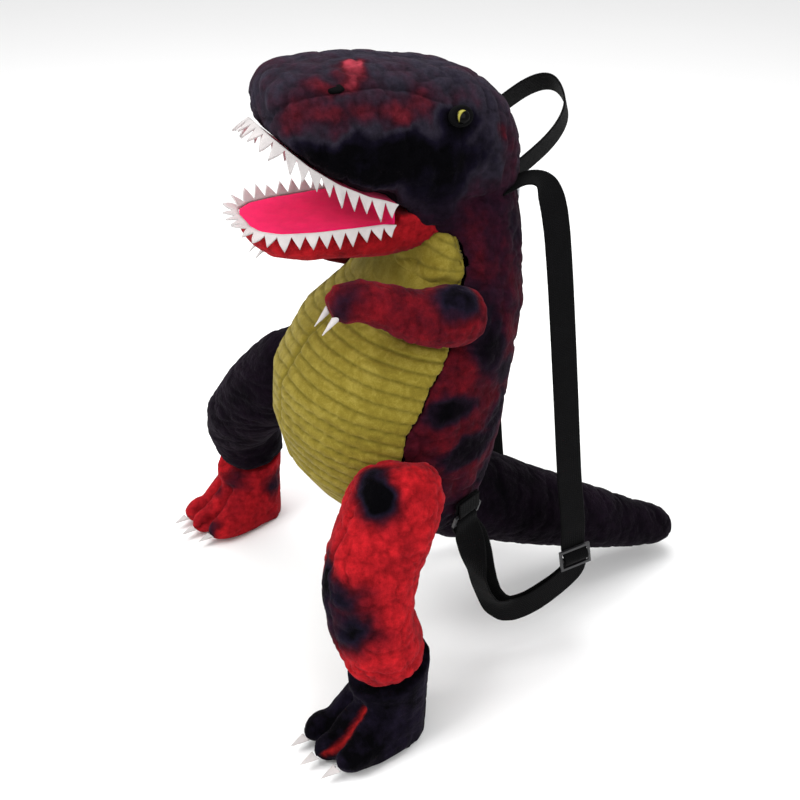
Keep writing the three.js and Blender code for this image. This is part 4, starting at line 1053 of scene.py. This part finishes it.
def webbing(name, rows, stands_for, sign=1):
    """A strip along the rows of a route; sign -1 mirrors it to the animal's right."""
    rows = np.array(rows)
    if sign < 0:
        rows = rows * np.array([-1, 1, 1, 1, -1, -1])
    centre = rows[:, :3]
    wide = rows[:, 3:]
    gap = np.linalg.norm(np.diff(centre, axis=0), axis=1)
    run = np.concatenate([[0], np.cumsum(gap)])
    steps = max(int(run[-1] / WEBBING_STEP), 8)
    at = np.linspace(0, run[-1], steps + 1)
    c = np.stack([np.interp(at, run, centre[:, k]) for k in range(3)], axis=1)
    w = np.stack([np.interp(at, run, wide[:, k]) for k in range(3)], axis=1)
    kernel = np.array([1, 2, 3, 2, 1]) / 9
    for array in (c, w):
        for k in range(3):
            padded = np.pad(array[:, k], 2, mode="reflect", reflect_type="odd")
            array[:, k] = np.convolve(padded, kernel, mode="valid")
    w /= np.linalg.norm(w, axis=1)[:, None]
    way = np.gradient(c, axis=0)
    out = np.cross(w, way)
    out /= np.linalg.norm(out, axis=1)[:, None]
    half = WEBBING_WIDTH / 2
    t = WEBBING_THICKNESS / 2
    across = np.array([-half, -half + 0.5, -half + 2, -4, 0, 4, half - 2, half - 0.5, half])
    profile = [(a, t if abs(a) < half - 0.3 else 0.35 * t) for a in across]
    profile += [(a, -t if abs(a) < half - 0.3 else -0.35 * t) for a in across[::-1]]
    count = len(profile)
    verts, faces, uvs = [], [], []
    for i in range(steps + 1):
        for a, h in profile:
            verts.append(tuple(HOME + MM * (c[i] + a * w[i] + h * out[i])))
    for i in range(steps):
        for k in range(count):
            m = (k + 1) % count
            faces.append((i * count + k, i * count + m, (i + 1) * count + m, (i + 1) * count + k))
            v = [profile[k][0] * MM, profile[m][0] * MM]
            u = [at[i] * MM, at[i + 1] * MM]
            uvs += [(u[0], v[0]), (u[0], v[1]), (u[1], v[1]), (u[1], v[0])]
    for i in (0, steps):
        ring = tuple(i * count + k for k in range(count))
        faces.append(ring if i else ring[::-1])
        uvs += [(at[i] * MM, profile[k][0] * MM) for k in range(count)]
    mesh = bpy.data.meshes.new(name)
    mesh.from_pydata(verts, [], faces)
    uv = mesh.uv_layers.new(name="strip")
    uv.data.foreach_set("uv", np.array(uvs, dtype=np.float32).ravel())
    face_outwards(mesh)
    return finish_piece(link(name, mesh), stands_for, web)


webbing("handle_webbing", handle_route(), ["carry_handle"])
for side, sign in (("left", 1), ("right", -1)):
    webbing(f"{side}_strap_webbing", strap_route(), [f"{side}_strap"], sign)
    webbing(f"{side}_tab_webbing", tab_route(), [f"{side}_anchor_tab"], sign)
    for fitting in ("slider", "ring"):
        rounded(f"{side}_strap_{fitting}", 0.6 * MM, plastic)


# Eyes and nostrils
DISC_RINGS, DISC_SIDES = 9, 40
DISC_BACK = 2.0


def disc_patch(name, centre, normal, size, height, stands_for, material, lean=(0, 0, 1)):
    """Low dome with a rolled edge; size is its half width along the head and half height."""
    out = Vector(normal).normalized()
    up_way = (Vector(lean) - out * Vector(lean).dot(out)).normalized()
    along = out.cross(up_way)
    rings, count = DISC_RINGS, DISC_SIDES
    verts, faces = [], []
    for r in range(rings + 1):
        share = 1 - r / rings
        lift = height * math.sqrt(max(0.0, 1 - share**2.6)) - 0.8 * (r == 0)
        for k in range(count):
            turn = 2 * math.pi * k / count
            p = Vector(place(*centre)) + along * (MM * size[0] * share * math.cos(turn))
            p += up_way * (MM * size[1] * share * math.sin(turn)) + out * (MM * lift)
            verts.append(tuple(p))
    for r in range(rings):
        for k in range(count):
            m = (k + 1) % count
            faces.append((r * count + k, r * count + m, (r + 1) * count + m, (r + 1) * count + k))
    base = [tuple(Vector(v) - out * (MM * DISC_BACK)) for v in verts[:count]]
    first = len(verts)
    verts += base
    for k in range(count):
        m = (k + 1) % count
        faces.append((first + k, first + m, m, k))
    faces.append(tuple(first + k for k in reversed(range(count))))
    mesh = bpy.data.meshes.new(name)
    mesh.from_pydata(verts, [], faces)
    face_outwards(mesh, weld=1e-7)
    return finish_piece(link(name, mesh), stands_for, material)


def eye_material(name, centre, glint):
    """Glossy black dome with a yellow-green crescent: partly the iris's own colour, partly a painted glint.
    """
    n = Nodes(name)
    away, shift = (n.vector("LENGTH", n.vector("SUBTRACT", n.coordinates, tuple(place(*spot))))
                   for spot in (centre, glint))
    # the crescent: inside the iris's edge and outside a black disc round the glint point; partly iris colour,
    # partly a painted glint
    iris_and_painted_glint = n.math("MULTIPLY", n.span(away, 0.0056, 0.0050), n.span(shift, 0.0060, 0.0066))
    tone = n.mix(iris_and_painted_glint, (0.002, 0.002, 0.002), (0.30, 0.27, 0.05))
    n.set(Base_Color=tone, Roughness=0.12, Specular_Ior_Level=0.05)
    return n.material


for side, sign in (("left", 1), ("right", -1)):
    spot = (sign * 64.3, 14, 513)
    disc_patch(f"{side}_eye_patch", (sign * 62.6, 14, 513), (sign, 0.05, 0.25), (10.5, 8.5), 1.2,
               [], black_felt)
    material = eye_material(f"{side}_eye_gloss", spot, (sign * 65.6, 16.2, 511.4))
    disc_patch(f"{side}_eye_dome", spot, (sign, 0.02, 0.25), (6.2, 5.4), 2.8,
               [f"{side}_eye"], material)
    disc_patch(f"{side}_nostril_patch", (sign * 43.6, -81, 539.5), (sign * 0.68, -0.03, 0.73), (8.0, 3.4),
               1.2, [f"{side}_nostril"], black_felt, lean=(-sign * 0.7, 0, 0.7))

# Zip
tape = soft_copy("zip_tape_cloth", ["zip_tape"], 0.0014, 2)
tape_cloth = felt("tape_cloth", (0.010, 0.010, 0.012), sheen=0.1)
finish_piece(tape, ["zip_tape"], tape_cloth)
# the coil is a row of small beads that lean to either side by turns, just inside the solid's back
BEAD_PITCH = 0.0018
BEAD_RADII = (0.0018, 0.00085, 0.00078)
BEAD_SIDE, BEAD_SINK, COIL_END = 0.0007, 0.0009, 0.001
coil_low, coil_high = (corner[2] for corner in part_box("zip_coil"))
coil_co = coords(nodes["zip_coil"])
bins = np.unique(np.round(coil_co[:, 2], 4))
profile_y = np.array([coil_co[np.abs(coil_co[:, 2] - z) < 5e-4, 1].max() for z in bins])
teeth = bmesh.new()
for k in range(int((coil_high - coil_low - 2 * COIL_END) / BEAD_PITCH)):
    z = coil_low + COIL_END + BEAD_PITCH * k
    y = float(np.interp(z, bins, profile_y)) - BEAD_SINK
    middle = (HOME[0] + (BEAD_SIDE if k % 2 else -BEAD_SIDE), y, z)
    made = bmesh.ops.create_uvsphere(teeth, u_segments=8, v_segments=6, radius=1.0)
    for vert in made["verts"]:
        vert.co = Vector([m + r * c for m, r, c in zip(middle, BEAD_RADII, vert.co)])
finish_piece(link_built("zip_coil_teeth", teeth), ["zip_coil"], plastic)
for name in ("zip_slider", "zip_pull"):
    rounded(name, 0.3 * MM, steel)

# Studio
HALF_FLOOR = 6
floor_corners = [(x * HALF_FLOOR, y * HALF_FLOOR, 0) for x, y in ((-1, -1), (1, -1), (1, 1), (-1, 1))]
floor_mesh = bpy.data.meshes.new("floor")
floor_mesh.from_pydata(floor_corners, [], [(0, 1, 2, 3)])
floor = link("floor", floor_mesh)
floor.location.z = -0.0005
floor_look = Nodes("floor")
floor_tone = floor_look.mix(floor_look.noise(2.0, 2.0), (0.93, 0.93, 0.93), (0.95, 0.95, 0.95))
floor_look.set(Base_Color=floor_tone, Roughness=0.9, Specular_Ior_Level=0.1)
floor.data.materials.append(floor_look.material)

world = bpy.data.worlds.new("studio")
scene.world = world
world.use_nodes = True
background = world.node_tree.nodes["Background"]
background.inputs["Color"].default_value = (1, 1, 1, 1)
background.inputs["Strength"].default_value = 0.75


def softbox(name, spot, target, size, power):
    data = bpy.data.lights.new(name, "AREA")
    data.shape = "RECTANGLE"
    data.size, data.size_y = size
    data.energy = power
    lamp = bpy.data.objects.new(name, data)
    aim(lamp, spot, target)
    scene.collection.objects.link(lamp)


softbox("key", (0.3, -2.0, 2.1), (0.05, 0, 0.3), (1.4, 1.4), 44)
softbox("fill", (2.2, 0.4, 1.3), (0.05, 0, 0.3), (1.6, 1.2), 16)
softbox("top", (-0.4, 0.1, 2.4), (0, 0, 0.3), (1.6, 1.6), 34)
scene.view_settings.view_transform = "Standard"
